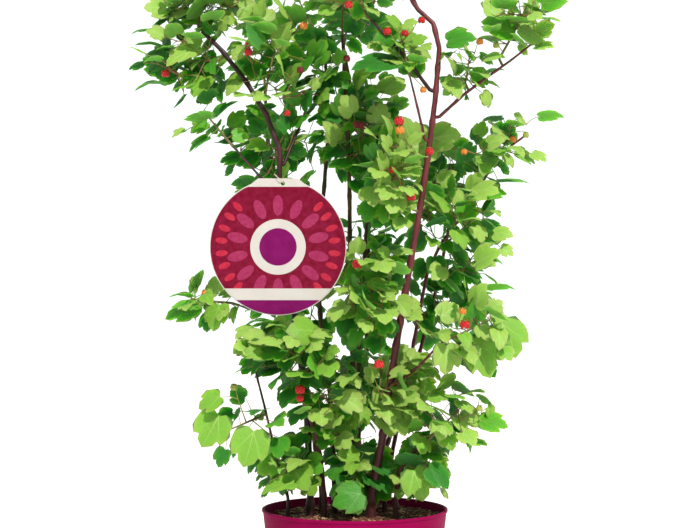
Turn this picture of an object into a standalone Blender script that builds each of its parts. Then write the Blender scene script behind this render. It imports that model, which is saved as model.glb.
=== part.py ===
"""Potted bramble: a many-caned fruit bush in its round plastic pot, with a round card tag on one cane.

Metres, +Z up, and the front is the -Y side. The origin is the middle of the pot's flat underside.
Each cane, bough and mass of foliage is one solid. The canes and boughs are tapering tubes along a few
points. A mass grows in a space of its own by the same seeded rule: a stem from its limb, twigs toward
evenly spread places, and at each place a leaf or a fruit.
"""

import math
import random

import bmesh
import bpy
import numpy as np
from mathutils import Vector
from mathutils.bvhtree import BVHTree

MM = 0.001
GAP = 0.3 * MM  # kept between pieces that touch in life

# Pot and soil
POT_RIM_RADIUS = 0.115
POT_BASE_RADIUS = 0.0905
POT_HEIGHT = 0.200
POT_WALL = 0.0024
POT_FLOOR = 0.0030
LIP_HEIGHT = 0.0030
LIP_PROUD = 0.0010
LIP_EDGE = 0.0008
BASE_CHAMFER = 0.0030
POT_STEPS = 44
DRAIN_HOLES = 6
DRAIN_RADIUS = 0.0045
DRAIN_RING = 0.066
SOIL_BELOW_RIM = 0.0094
SOIL_SHOULDER = 0.006
SOIL_STEPS = 26

# Card tag and its tie
TAG_CENTRE = Vector((-0.0930, -0.0605, 0.5230))
TAG_RADIUS = 0.0826
TAG_THICKNESS = 0.0012
TAG_TOP_HALF = 0.024
TAG_HOLE_RADIUS = 0.0025
TAG_HOLE_DROP = 0.0062  # from the flat top edge to the hole
TIE_RADIUS = 0.0082
TIE_WIRE = 0.0006
TIE_LEAN = math.radians(45)

# Limbs: radii at foot and tip, sides of the tube, and the route in millimetres
FLARE = 1.3  # a cane's foot over its own radius
FLARE_HEIGHT = 0.026
LIMB_STEP = 0.055  # between the rings of a limb
CANES = {
    "cane_main": (5.0, 2.7, 8, [(20, -22, 0), (33, -24, 284), (48, -30, 389), (67, -38, 501),
                                (83, -44, 595), (97, -50, 702), (102, -50, 764), (95, -47, 794),
                                (76, -43, 812), (64, -39, 834)]),
    "cane_centre": (3.3, 2.2, 6, [(-6, 2, 0), (-2, 6, 331), (-6, 12, 520), (-7, 16, 626), (-15, 16, 788)]),
    "cane_centre_right": (3.1, 1.7, 6, [(9, 22, 0), (4, 36, 331), (15, 60, 546), (32, 68, 680)]),
    "cane_left_centre": (3.5, 2.0, 6, [(-25, 18, 0), (-31, 24, 345), (-46, 32, 482), (-34, 40, 659),
                                       (-37, 46, 768)]),
    "cane_left": (3.3, 2.2, 6, [(-38, -12, 0), (-42, -20, 262), (-51, -31, 305), (-68, -46, 352)]),
    "cane_upper_left": (4.4, 2.6, 8, [(-55, -6, 0), (-60, -20, 335), (-70, -30, 410), (-82, -44, 507),
                                      (-92, -52, 592), (-91, -52, 640), (-108, -50, 684), (-131, -46, 722),
                                      (-162, -42, 762), (-186, -38, 786)]),
    "cane_thin_left": (2.0, 1.2, 6, [(-82, -26, 0), (-90, -32, 242), (-109, -46, 326), (-121, -56, 376)]),
    "cane_right": (2.9, 1.9, 6, [(50, -24, 0), (55, -34, 251), (67, -40, 269), (84, -50, 285)]),
    "cane_back_right": (3.0, 1.3, 6, [(38, 40, 0), (64, 48, 343), (92, 48, 490), (108, 44, 526),
                                      (146, 33, 578), (157, 26, 618), (190, 16, 646), (212, 10, 662)]),
    "cane_back_left": (3.6, 2.0, 6, [(-41, 52, 0), (-70, 104, 391), (-108, 132, 600), (-117, 134, 735)]),
    "cane_back_centre": (3.6, 2.0, 6, [(-3, 58, 0), (16, 112, 390), (16, 140, 600), (-12, 142, 780)]),
    "cane_back_far": (3.2, 1.9, 6, [(22, 60, 0), (86, 104, 391), (116, 118, 510), (124, 120, 552)]),
}
# A bough's first figures name the limb it leaves and the height it leaves at
BOUGHS = {
    "bough_right": ("cane_main", 681, 2.1, 1.1, [(131, -52, 707), (162, -52, 730), (190, -51, 750),
                                              (218, -50, 772)]),
    "bough_top_left": ("cane_main", 712, 2.5, 1.4, [(64, -54, 748), (42, -58, 773), (19, -58, 797)]),
    "bough_inner": ("cane_main", 652, 1.8, 1.1, [(77, -57, 684), (70, -60, 712), (66, -60, 728)]),
    "bough_low_right": ("cane_main", 356, 2.0, 1.4, [(80, -58, 382), (98, -63, 402)]),
    "bough_fork": ("cane_upper_left", 622, 2.0, 1.3, [(-76, -34, 650), (-66, -16, 676)]),
    "bough_low_left": ("cane_upper_left", 570, 1.8, 1.1, [(-113, -50, 606), (-135, -50, 630),
                                                          (-148, -48, 645)]),
    "bough_behind_tag": ("cane_upper_left", 462, 1.5, 1.0, [(-106, -43, 449), (-127, -45, 447),
                                                            (-140, -46, 452)]),
}

# Masses: limb, height on it (None at its tip), centre and half sizes in millimetres, leaves
MASSES = {
    "mass_left_upper": ("cane_upper_left", 756, (-208, -20, 752), (64, 56, 56), 10),
    "mass_left_top": ("cane_upper_left", None, (-184, -14, 834), (72, 62, 64), 18),
    "mass_upper_left": ("cane_upper_left", 700, (-102, -36, 752), (62, 58, 70), 13),
    "mass_low_left_bough": ("bough_low_left", None, (-174, -40, 676), (50, 46, 38), 4),
    "mass_over_tag": ("cane_upper_left", 628, (-100, 8, 650), (66, 54, 62), 10),
    "mass_fork": ("bough_fork", None, (-50, 4, 734), (46, 46, 54), 14),
    "mass_top_front": ("bough_top_left", None, (-8, -56, 856), (56, 48, 58), 11),
    "mass_top": ("cane_centre", None, (-14, 24, 852), (58, 50, 64), 11),
    "mass_centre_upper": ("cane_centre", 648, (12, 14, 672), (64, 58, 78), 14),
    "mass_inner_top": ("bough_inner", None, (58, -62, 764), (40, 38, 38), 7),
    "mass_main_top": ("cane_main", None, (48, -34, 892), (56, 58, 62), 13),
    "mass_right_bough": ("bough_right", 712, (138, -50, 736), (40, 40, 50), 5),
    "mass_right_top": ("bough_right", 742, (202, -50, 800), (54, 50, 42), 6),
    "mass_right_upper": ("cane_back_right", 608, (182, 8, 646), (56, 50, 50), 5),
    "mass_right_middle": ("cane_back_right", 524, (130, -2, 544), (62, 66, 78), 15),
    "mass_centre_right": ("cane_main", 566, (52, -74, 606), (46, 46, 72), 13),
    "mass_centre": ("cane_main", 452, (22, -60, 470), (58, 60, 68), 19),
    "mass_low_right": ("bough_low_right", None, (140, -66, 424), (58, 54, 56), 6),
    "mass_under_tag": ("cane_left", None, (-84, -66, 390), (60, 52, 52), 13),
    "mass_left_of_tag": ("bough_behind_tag", None, (-184, -50, 458), (48, 38, 34), 16),
    "mass_left_low": ("cane_thin_left", 320, (-134, -60, 310), (60, 50, 54), 4),
    "mass_centre_low": ("cane_left_centre", 322, (-34, -32, 338), (56, 56, 66), 14),
    "mass_right_low": ("cane_right", None, (114, -58, 316), (60, 50, 44), 8),
    "mass_low_centre": ("cane_main", 336, (60, -22, 344), (46, 54, 58), 15),
    "mass_foot_left": ("cane_upper_left", 244, (-78, -22, 248), (42, 46, 42), 6),
    "mass_foot_centre": ("cane_main", 244, (4, -16, 246), (44, 56, 44), 15),
    "mass_foot_right": ("cane_right", 236, (84, -20, 250), (40, 50, 48), 8),
    "mass_back_top_left": ("cane_left_centre", None, (-62, 78, 822), (56, 52, 60), 6),
    "mass_back_left_upper": ("cane_back_left", None, (-124, 122, 800), (62, 60, 62), 8),
    "mass_back_left_middle": ("cane_back_left", 600, (-112, 122, 616), (60, 60, 66), 5),
    "mass_back_left_low": ("cane_back_left", 420, (-86, 104, 430), (56, 56, 64), 10),
    "mass_back_top": ("cane_back_centre", None, (-4, 122, 846), (60, 60, 64), 12),
    "mass_back_upper": ("cane_back_centre", 650, (8, 124, 670), (60, 56, 62), 10),
    "mass_back_middle": ("cane_back_centre", 500, (16, 118, 508), (60, 56, 66), 12),
    "mass_back_low": ("cane_back_centre", 340, (24, 88, 346), (66, 54, 60), 13),
    "mass_back_right_upper": ("cane_back_far", None, (124, 106, 606), (58, 56, 62), 11),
    "mass_back_right_low": ("cane_back_far", 440, (118, 104, 452), (58, 56, 64), 11),
}

# Leaves that make the crown's outline: place in millimetres, length, heading of the tip seen from the
# front in degrees (0 to the right, -90 down), and how far the blade is turned from lying flat (0) to
# facing the front (1)
OUTLINE_LEAVES = [
    ((-172, -74, 304), 50, -112, 0.8), ((-126, -80, 284), 52, -104, 0.9), ((184, -74, 414), 52, -72, 0.7),
    ((150, -86, 392), 50, -62, 0.9), ((-246, -26, 770), 44, 168, 0.1), ((-248, -24, 724), 40, 176, 0.1),
    ((-258, -30, 788), 30, 184, 0.05), ((243, 6, 688), 32, 8, 0.4), ((166, -66, 312), 34, -8, 0.5),
    ((196, 4, 606), 40, 2, 0.15), ((-208, -52, 446), 44, 200, 0.4), ((176, -56, 790), 44, 160, 0.6),
    ((240, -52, 826), 40, 30, 0.6), ((258, -50, 782), 28, 6, 0.2),
    ((-92, -60, 236), 46, 190, 0.5), ((76, -62, 238), 40, -70, 0.7), ((176, -40, 476), 36, 6, 0.2),
]
# Fruits that show from a step away: their places in millimetres
FRUITS = [
    (-8, -78, 812), (38, -80, 780), (-10, -32, 753), (-128, -74, 756), (-230, -48, 733), (-66, -60, 736),
    (2, -38, 672), (52, -90, 672), (88, -92, 636), (44, -92, 614), (66, -96, 582), (2, -84, 502),
    (130, -90, 430), (28, -88, 383), (-66, -80, 352), (-82, -60, 684), (-181, -60, 467), (148, -84, 330),
    (196, 0, 657),
    (134, -20, 640), (150, -62, 770), (-146, -66, 354), (80, -60, 796), (-110, 166, 640), (20, 170, 700),
    (140, 150, 470), (-80, 150, 440),
]
FRUIT_RADIUS = 0.0050

# Leaves and twigs of the masses
LEAF_LENGTH = (0.046, 0.062)
LEAF_WIDTH = 0.96  # over its length
LEAF_THICKNESS = 0.0012
NECK_STEPS = 6  # along the rim of the blade from one side of its foot to the other
NECK_HALF = 0.0010
STALK_RADIUS = 0.0007
SHORTEST_STALK = 0.010
STALK_REACH = 0.040  # the longest leaf stalk
TWIG_STEP = 0.034
BUD_STEP = 0.0042  # between the places on a twig that a leaf or twig may grow from
TWIG_RADIUS = 0.0014
STEM_RADIUS = 0.0019
STEM_STRAIGHT = 0.006
STEM_BEND = 0.012
STEM_TRIES = 60
STEM_BARE = 0.3  # of its length, before the first bud
CLEAR = 0.0022  # from a leaf or twig to a limb, the tag, the pot or another mass's stem
SPACING = 0.022  # the least distance between leaf places
SHELL = (0.15, 0.80)  # where leaf places lie between a mass's middle and its surface
LEAF_REACH = 1.18  # how far a leaf's edge may reach, over the half sizes
TRIES = 9
GIVEN_TRIES = 40  # for a fruit or an outline leaf, whose place is given
SHRINK = 0.06  # how much smaller each further try makes a leaf
NUDGE = 0.0016  # how far each further try for a leaf or fruit may stray from its place
CELL_MARGIN = 1.035  # how much nearer a point lies to its own mass than to the next one
OUTLINE_REACH = 1.35  # how far past its mass's surface an outline leaf may stand
FRUIT_REACH = 1.5  # and a fruit

MATERIALS = {
    "pot plastic": ((0.42, 0.005, 0.10), 0.38),
    "soil": ((0.055, 0.030, 0.016), 0.95),
    "tag card": ((0.80, 0.74, 0.62), 0.45),
    "tag tie": ((0.75, 0.72, 0.62), 0.50),
    "cane bark": ((0.16, 0.035, 0.045), 0.60),
    "old cane bark": ((0.085, 0.062, 0.030), 0.75),
    "foliage": ((0.09, 0.33, 0.05), 0.50),
}
OLD_CANES = {"cane_centre", "cane_centre_right", "cane_left_centre", "cane_back_left", "cane_back_centre"}


def clear_scene():
    for obj in list(bpy.data.objects):
        bpy.data.objects.remove(obj, do_unlink=True)


def new_collection(name):
    collection = bpy.data.collections.new(name)
    bpy.context.scene.collection.children.link(collection)
    return collection


def make_material(name):
    colour, roughness = MATERIALS[name]
    material = bpy.data.materials.new(name)
    material.use_nodes = True
    shader = material.node_tree.nodes["Principled BSDF"]
    shader.inputs["Base Color"].default_value = (*colour, 1)
    shader.inputs["Roughness"].default_value = roughness
    shader.inputs["Metallic"].default_value = 0.0
    return material


def mesh_object(name, points, faces, collection, material=None):
    mesh = bpy.data.meshes.new(name)
    mesh.from_pydata([tuple(point) for point in points], [], faces)
    if material:
        mesh.materials.append(material)
    obj = bpy.data.objects.new(name, mesh)
    collection.objects.link(obj)
    return obj


def turned_object(name, profile, steps, collection, material):
    """A closed profile of (radius, height) points, its outer side running down, turned about Z."""
    edges = [(i, i + 1) for i in range(len(profile) - 1)]
    mesh = bpy.data.meshes.new(name)
    mesh.from_pydata([(radius, 0, height) for radius, height in profile], edges, [])
    mesh.materials.append(material)
    obj = bpy.data.objects.new(name, mesh)
    collection.objects.link(obj)
    screw = obj.modifiers.new("Turn", "SCREW")
    screw.angle = 2 * math.pi
    screw.steps = steps
    screw.render_steps = steps
    screw.use_merge_vertices = True
    screw.merge_threshold = 0.00005
    screw.use_smooth_shade = True
    return obj


# Pot, soil, tag and tie

def pot_outer_radius(height):
    return POT_BASE_RADIUS + (POT_RIM_RADIUS - LIP_PROUD - POT_BASE_RADIUS) * height / POT_HEIGHT


def add_pot(parts, cutters, material):
    lip_foot = POT_HEIGHT - LIP_HEIGHT
    profile = [
        (0, POT_FLOOR),
        (pot_outer_radius(POT_FLOOR) - POT_WALL, POT_FLOOR),
        (pot_outer_radius(POT_HEIGHT) - POT_WALL, POT_HEIGHT),
        (POT_RIM_RADIUS - LIP_EDGE, POT_HEIGHT),
        (POT_RIM_RADIUS, POT_HEIGHT - LIP_EDGE),
        (POT_RIM_RADIUS, lip_foot),
        (pot_outer_radius(lip_foot), lip_foot - LIP_EDGE),
        (pot_outer_radius(BASE_CHAMFER), BASE_CHAMFER),
        (POT_BASE_RADIUS - BASE_CHAMFER, 0),
        (0, 0),
    ]
    pot = turned_object("pot", profile, POT_STEPS, parts, material)
    drill = bmesh.new()
    for index in range(DRAIN_HOLES):
        turn = 2 * math.pi * (index + 0.5) / DRAIN_HOLES
        made = bmesh.ops.create_cone(drill, cap_ends=True, segments=8, radius1=DRAIN_RADIUS,
                                     radius2=DRAIN_RADIUS, depth=4 * POT_FLOOR)
        place = Vector((DRAIN_RING * math.cos(turn), DRAIN_RING * math.sin(turn), POT_FLOOR / 2))
        bmesh.ops.translate(drill, verts=made["verts"], vec=place)
    mesh = bpy.data.meshes.new("drain_cutter")
    drill.to_mesh(mesh)
    drill.free()
    cutter = bpy.data.objects.new("drain_cutter", mesh)
    cutters.objects.link(cutter)
    cutter.hide_render = True
    cutter.display_type = "WIRE"
    holes = pot.modifiers.new("Drain holes", "BOOLEAN")
    holes.operation = "DIFFERENCE"
    holes.object = cutter
    return pot


def soil_top():
    return POT_HEIGHT - SOIL_BELOW_RIM


def add_soil(parts, material):
    top = soil_top()
    bottom = POT_FLOOR + GAP
    inner = POT_WALL + GAP / math.cos(math.pi / POT_STEPS)
    top_radius = (pot_outer_radius(top) - inner) * math.cos(math.pi / POT_STEPS)
    bottom_radius = (pot_outer_radius(bottom) - inner) * math.cos(math.pi / POT_STEPS)
    profile = [
        (0, top),
        (top_radius - SOIL_SHOULDER, top),
        (top_radius, top - SOIL_SHOULDER / 4),
        (bottom_radius, bottom),
        (0, bottom),
    ]
    return turned_object("soil", profile, SOIL_STEPS, parts, material)


def add_tag(parts, material):
    """The round card with a flat top edge and its punched hole, an extruded outline facing the front."""
    curve = bpy.data.curves.new("tag", "CURVE")
    curve.dimensions = "2D"
    curve.fill_mode = "BOTH"
    curve.extrude = TAG_THICKNESS / 2
    shoulder = math.asin((TAG_TOP_HALF + 0.008) / TAG_RADIUS)
    arc_steps = 40
    start = math.pi / 2 + shoulder
    sweep = 2 * math.pi - 2 * shoulder
    outline = [(TAG_RADIUS * math.cos(start + sweep * i / arc_steps),
                TAG_RADIUS * math.sin(start + sweep * i / arc_steps)) for i in range(arc_steps + 1)]
    outline += [(TAG_TOP_HALF, TAG_RADIUS), (-TAG_TOP_HALF, TAG_RADIUS)]
    hole_at = tag_hole() - TAG_CENTRE
    hole_steps = 10
    hole = [(hole_at.x + TAG_HOLE_RADIUS * math.cos(2 * math.pi * i / hole_steps),
             hole_at.z + TAG_HOLE_RADIUS * math.sin(2 * math.pi * i / hole_steps)) for i in range(hole_steps)]
    for ring in (outline, hole):
        spline = curve.splines.new("POLY")
        spline.points.add(len(ring) - 1)
        for point, (x, y) in zip(spline.points, ring):
            point.co = (x, y, 0, 1)
        spline.use_cyclic_u = True
    curve.materials.append(material)
    tag = bpy.data.objects.new("tag", curve)
    tag.location = TAG_CENTRE
    tag.rotation_euler = (math.pi / 2, 0, 0)
    parts.objects.link(tag)
    return tag


def tag_hole():
    return TAG_CENTRE + Vector((0.006, 0, TAG_RADIUS - TAG_HOLE_DROP))


def add_tie(parts, material, limbs):
    """A loop through the tag's hole and round the cane, its back a gap clear of the cane."""
    hole = tag_hole()
    route, radii = limbs["cane_upper_left"]
    nearest = min(range(len(route)), key=lambda i: abs(route[i].z - hole.z))
    axis = route[nearest]
    centre_y = axis.y + radii[nearest] + GAP + TIE_WIRE - TIE_RADIUS
    drop = centre_y - TAG_CENTRE.y
    half_chord = math.sqrt(TIE_RADIUS**2 - drop**2)
    lift = TAG_HOLE_RADIUS - TIE_WIRE - 3 * GAP
    across = Vector((-math.cos(TIE_LEAN), 0, math.sin(TIE_LEAN)))
    middle = Vector((hole.x, centre_y, hole.z + lift)) + across * half_chord
    bpy.ops.mesh.primitive_torus_add(major_radius=TIE_RADIUS, minor_radius=TIE_WIRE, major_segments=18,
                                     minor_segments=4, location=middle,
                                     rotation=(0, math.pi + TIE_LEAN, 0))
    tie = bpy.context.object
    tie.name = "tag_tie"
    tie.data.name = "tag_tie"
    tie.data.materials.append(material)
    tie.data.shade_smooth()
    for collection in list(tie.users_collection):
        collection.objects.unlink(tie)
    parts.objects.link(tie)
    return tie


# Limbs

def smooth_route(points, step):
    """Points about a step apart on a Catmull-Rom curve through the given ones."""
    ends = [2 * points[0] - points[1], *points, 2 * points[-1] - points[-2]]
    route = []
    for a, b, c, d in zip(ends, ends[1:], ends[2:], ends[3:]):
        pieces = max(1, round((c - b).length / step))
        for i in range(pieces):
            t = i / pieces
            route.append(0.5 * (2 * b + (c - a) * t + (2 * a - 5 * b + 4 * c - d) * t**2
                                + (3 * b - a - 3 * c + d) * t**3))
    return route + [points[-1]]


def run_lengths(route):
    lengths = [0.0]
    for a, b in zip(route, route[1:]):
        lengths.append(lengths[-1] + (b - a).length)
    return lengths


def cane_route(foot_radius, tip_radius, points):
    """The route and radii of a cane, upright where it leaves the soil and flared at its foot."""
    foot = Vector((points[0][0] * MM, points[0][1] * MM, soil_top() + GAP))
    collar = foot + Vector((0, 0, 0.006))
    shaft = foot + Vector((0, 0, FLARE_HEIGHT))
    rest = [Vector(point) * MM for point in points[1:]]
    route = [foot] + smooth_route([collar, shaft] + rest, LIMB_STEP)
    lengths = run_lengths(route)
    radii = []
    for length in lengths:
        taper = foot_radius + (tip_radius - foot_radius) * length / lengths[-1]
        flare = 1 + (FLARE - 1) * max(0.0, 1 - length / FLARE_HEIGHT) ** 2
        radii.append(taper * flare * MM)
    return route, radii


def at_height(limb, height):
    """The point, direction and radius of a limb where it first reaches a height, or at its tip for None."""
    route, radii = limb
    if height is None:
        return route[-1], (route[-1] - route[-2]).normalized(), radii[-1]
    for a, b, ra, rb in zip(route, route[1:], radii, radii[1:]):
        if a.z <= height * MM <= b.z:
            share = (height * MM - a.z) / (b.z - a.z)
            return a.lerp(b, share), (b - a).normalized(), ra + (rb - ra) * share
    raise ValueError("the limb never reaches this height")


def side_start(limb, height, toward, own_radius):
    """Where a side shoot starts on a limb: the point a gap clear of its bark, and the way straight out."""
    point, along, radius = at_height(limb, height)
    if height is None:
        return point + along * GAP, along
    out = toward - point
    out = (out - along * out.dot(along)).normalized()
    return point + out * (radius + GAP), out


def bough_route(limbs, parent, height, foot_radius, tip_radius, points):
    rest = [Vector(point) * MM for point in points]
    start, out = side_start(limbs[parent], height, rest[0], foot_radius * MM)
    route = [start] + smooth_route([start + out * 0.003] + rest, 0.7 * LIMB_STEP)
    lengths = run_lengths(route)
    radii = [(foot_radius + (tip_radius - foot_radius) * length / lengths[-1]) * MM for length in lengths]
    return route, radii


def limb_object(name, route, radii, sides, collection, material):
    curve = bpy.data.curves.new(name, "CURVE")
    curve.dimensions = "3D"
    curve.fill_mode = "FULL"
    curve.bevel_depth = 1.0
    curve.bevel_resolution = (sides - 4) // 2
    curve.use_fill_caps = True
    spline = curve.splines.new("POLY")
    spline.points.add(len(route) - 1)
    for point, place, radius in zip(spline.points, route, radii):
        point.co = (*place, 1)
        point.radius = radius
    curve.materials.append(material)
    limb = bpy.data.objects.new(name, curve)
    collection.objects.link(limb)
    return limb


# Twigs, leaves and fruits, each as points and faces

def twig_shape(route, radii):
    """A three-sided tapering tube along the route, closed at both ends."""
    sides = 3
    points = []
    side = (route[1] - route[0]).orthogonal()
    for i, place in enumerate(route):
        along = (route[min(i + 1, len(route) - 1)] - route[max(i - 1, 0)]).normalized()
        side = (side - along * side.dot(along)).normalized()
        other = along.cross(side)
        for k in range(sides):
            turn = 2 * math.pi * k / sides
            points.append(place + (side * math.cos(turn) + other * math.sin(turn)) * radii[i])
    faces = [tuple(reversed(range(sides)))]
    for ring in range(len(route) - 1):
        for k in range(sides):
            a = ring * sides + k
            b = ring * sides + (k + 1) % sides
            faces.append((a, b, b + sides))
            faces.append((a, b + sides, a + sides))
    last = (len(route) - 1) * sides
    faces.append(tuple(last + k for k in range(sides)))
    return points, faces


def leaf_shape(stalk, radii, midrib, normal, length):
    """A three-lobed domed blade and the three-sided stalk that ends at its foot, as one closed shape."""
    across = midrib.cross(normal)
    half = 0.5 * LEAF_WIDTH * length
    dome = 0.05 * length
    neck = stalk[-1]
    points = []
    for i, place in enumerate(stalk[:-1]):
        along = (stalk[i + 1] - stalk[max(i - 1, 0)]).normalized()
        beside = (across - along * across.dot(along)).normalized()
        above = beside.cross(along)
        points.append(place + (0.5 * above - 0.87 * beside) * radii[i])
        points.append(place + (0.5 * above + 0.87 * beside) * radii[i])
        points.append(place - above * radii[i])
    rings = len(points)
    first, last, low = rings, rings + NECK_STEPS, rings + NECK_STEPS + 1
    rim = [(-NECK_HALF, 0, 0), (-half, 0.32 * length, -0.06 * length), (-0.47 * half, 0.53 * length, 0),
           (0, length, -0.12 * length), (0.47 * half, 0.53 * length, 0),
           (half, 0.32 * length, -0.06 * length), (NECK_HALF, 0, 0)]
    points += [neck + across * x + midrib * y + normal * z for x, y, z in rim]
    points.append(neck - (above + normal).normalized() * NECK_HALF)
    under, top = low + 1, low + 2
    points.append(neck + midrib * 0.40 * length + normal * (dome - LEAF_THICKNESS))
    points.append(neck + midrib * 0.40 * length + normal * dome)
    faces = [(0, 2, 1)]
    for ring in range(0, rings, 3):
        ends = (first, last, low) if ring == rings - 3 else (ring + 3, ring + 4, ring + 5)
        for a, b in ((0, 2), (2, 1), (1, 0)):
            faces.append((ring + a, ends[a], ring + b))
            faces.append((ring + b, ends[a], ends[b]))
    faces += [(top, first, last), (low, first, under), (last, low, under)]
    for i in range(first, last):
        faces.append((top, i + 1, i))
        faces.append((under, i, i + 1))
    return points, faces


def fruit_shape(centre):
    ball = bmesh.new()
    bmesh.ops.create_icosphere(ball, subdivisions=1, radius=FRUIT_RADIUS)
    points = [vertex.co + centre for vertex in ball.verts]
    faces = [tuple(vertex.index for vertex in face.verts) for face in ball.faces]
    ball.free()
    return points, faces


# Where a mass may grow

class Crown:
    """The spaces of all masses and everything that a twig or leaf has to stay clear of."""

    def __init__(self, limbs):
        self.names = list(MASSES)
        self.centres = np.array([MASSES[name][2] for name in self.names]) * MM
        self.halves = np.array([MASSES[name][3] for name in self.names]) * MM
        self.starts = []
        self.ends = []
        self.widths = []
        self.owners = []
        for route, radii in limbs.values():
            self.add_tube(route, radii, None)
        self.built = None
        self.built_points = []
        self.built_faces = []

    def add_tube(self, route, radii, owner):
        for a, b, ra, rb in zip(route, route[1:], radii, radii[1:]):
            self.starts.append(tuple(a))
            self.ends.append(tuple(b))
            self.widths.append(max(ra, rb))
            self.owners.append(owner)

    def keep(self, shapes):
        """Adds finished shapes to those that later ones may not cross."""
        for points, faces in shapes:
            base = len(self.built_points)
            self.built_points += [tuple(point) for point in points]
            self.built_faces += [tuple(base + i for i in face) for face in faces]
        self.built = BVHTree.FromPolygons(self.built_points, self.built_faces, epsilon=0.5 * GAP)

    def crosses(self, shape):
        tree = BVHTree.FromPolygons([tuple(p) for p in shape[0]], shape[1], epsilon=0.5 * GAP)
        return self.built is not None and bool(self.built.overlap(tree))

    def shares(self, samples):
        """How far each sample lies from each mass's centre, over that mass's half sizes."""
        offsets = (samples[:, None, :] - self.centres[None]) / self.halves[None]
        return np.linalg.norm(offsets, axis=2)

    def own(self, index, samples, reach):
        shares = self.shares(samples)
        mine = shares[:, index].copy()
        shares[:, index] = np.inf
        return bool((mine <= reach).all() and (mine * CELL_MARGIN < shares.min(axis=1)).all())

    def clear_of_limbs(self, name, samples, gap=CLEAR):
        others = np.array([owner is None or owner != name for owner in self.owners])
        a = np.array(self.starts)[others]
        b = np.array(self.ends)[others]
        widths = np.array(self.widths)[others]
        along = b - a
        offset = samples[:, None, :] - a[None]
        share = np.clip((offset * along).sum(axis=2) / (along**2).sum(axis=1), 0, 1)
        distance = np.linalg.norm(offset - share[..., None] * along, axis=2)
        return bool((distance > widths + gap).all())

    def clear_of_pot_and_tag(self, samples):
        radius = np.hypot(samples[:, 0], samples[:, 1])
        low = samples[:, 2] < POT_HEIGHT + CLEAR
        in_wall = low & (radius > POT_RIM_RADIUS - 0.006 - CLEAR) & (radius < POT_RIM_RADIUS + CLEAR)
        in_soil = samples[:, 2] < soil_top() + CLEAR
        from_tag = np.hypot(samples[:, 0] - TAG_CENTRE.x, samples[:, 2] - TAG_CENTRE.z)
        before_tag = (samples[:, 1] < TAG_CENTRE.y + 2 * CLEAR) & (from_tag < TAG_RADIUS + 2 * CLEAR)
        return not (in_wall | in_soil | before_tag).any()

    def free(self, name, samples, reach):
        index = self.names.index(name)
        return (self.own(index, samples, reach) and self.clear_of_limbs(name, samples)
                and self.clear_of_pot_and_tag(samples))


def samples_of(shape):
    """A shape's corners, and points inside each of its faces."""
    points = np.array([tuple(point) for point in shape[0]])
    samples = [points]
    for face in shape[1]:
        corners = points[list(face)]
        middle = corners.mean(axis=0)
        samples += [middle[None], 0.5 * (corners + middle), 0.5 * (corners + np.roll(corners, 1, axis=0))]
    return np.vstack(samples)


def solid_of(obj):
    """The points and triangles of a finished piece."""
    evaluated = obj.evaluated_get(bpy.context.evaluated_depsgraph_get())
    mesh = evaluated.to_mesh()
    mesh.calc_loop_triangles()
    points = [evaluated.matrix_world @ vertex.co for vertex in mesh.vertices]
    faces = [tuple(triangle.vertices) for triangle in mesh.loop_triangles]
    evaluated.to_mesh_clear()
    return points, faces


def line_samples(a, b):
    count = max(2, int((b - a).length / 0.004))
    return np.array([tuple(a.lerp(b, i / count)) for i in range(count + 1)])


# The rule that a mass grows by

def stem_of(name, limbs, crown):
    """The stem from the limb to past the middle of the mass: first straight out from the bark, then bent
    aside where the straight way would come too near another limb."""
    parent, height, centre, half, _ = MASSES[name]
    rng = random.Random(name + " stem")
    middle = Vector(centre) * MM
    start, out = side_start(limbs[parent], height, middle, STEM_RADIUS)
    if height is not None:
        start = pushed_clear(start, out, crown)
    away = start + out * STEM_STRAIGHT
    inward = (middle - start).normalized()
    bend = Vector((0, 0, 0))
    for attempt in range(STEM_TRIES):
        far = middle + inward * 0.25 * min(half) * MM + 0.5 * bend
        route = [start] + smooth_route([away, middle.lerp(away, 0.5) + bend, far], TWIG_STEP)
        ways = np.vstack([line_samples(a, b) for a, b in zip(route[1:], route[2:])])
        if crown.clear_of_limbs(name, ways):
            lengths = run_lengths(route)
            radii = [STEM_RADIUS + (TWIG_RADIUS - STEM_RADIUS) * length / lengths[-1] for length in lengths]
            return route, radii
        bend = Vector([rng.uniform(-1, 1) for _ in range(3)]) * STEM_BEND * (1 + attempt / STEM_TRIES)
    raise ValueError(f"{name}: no clear way for its stem")


def pushed_clear(start, out, crown):
    """The stem's first ring moved out until every corner of it is a gap clear of the limbs."""
    side = out.orthogonal().normalized()
    other = out.cross(side)
    while True:
        corners = [start + (side * math.cos(turn) + other * math.sin(turn)) * STEM_RADIUS
                   for turn in (0, math.pi / 3, 2 * math.pi / 3, math.pi, 4 * math.pi / 3, 5 * math.pi / 3)]
        if crown.clear_of_limbs(None, np.array([tuple(corner) for corner in corners]), 0.9 * GAP):
            return start
        start = start + out * 0.3 * GAP


def spread_places(name, crown, count, rng):
    """Evenly spread places in the mass's space, each the farthest of a few draws from those before it."""
    _, _, centre, half, _ = MASSES[name]
    places = []
    for _ in range(count):
        best = None
        best_distance = 0.0
        for _ in range(24):
            direction = Vector([rng.gauss(0, 1) for _ in range(3)]).normalized()
            shell = rng.uniform(*SHELL)
            place = Vector([c * MM + h * MM * d * shell for c, h, d in zip(centre, half, direction)])
            if not crown.free(name, np.array([tuple(place)]), 1.0):
                continue
            distance = min(((place - other).length for other in places), default=1.0)
            if distance > best_distance:
                best = place
                best_distance = distance
        if best is not None and best_distance > SPACING:
            places.append(best)
    return places


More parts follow.
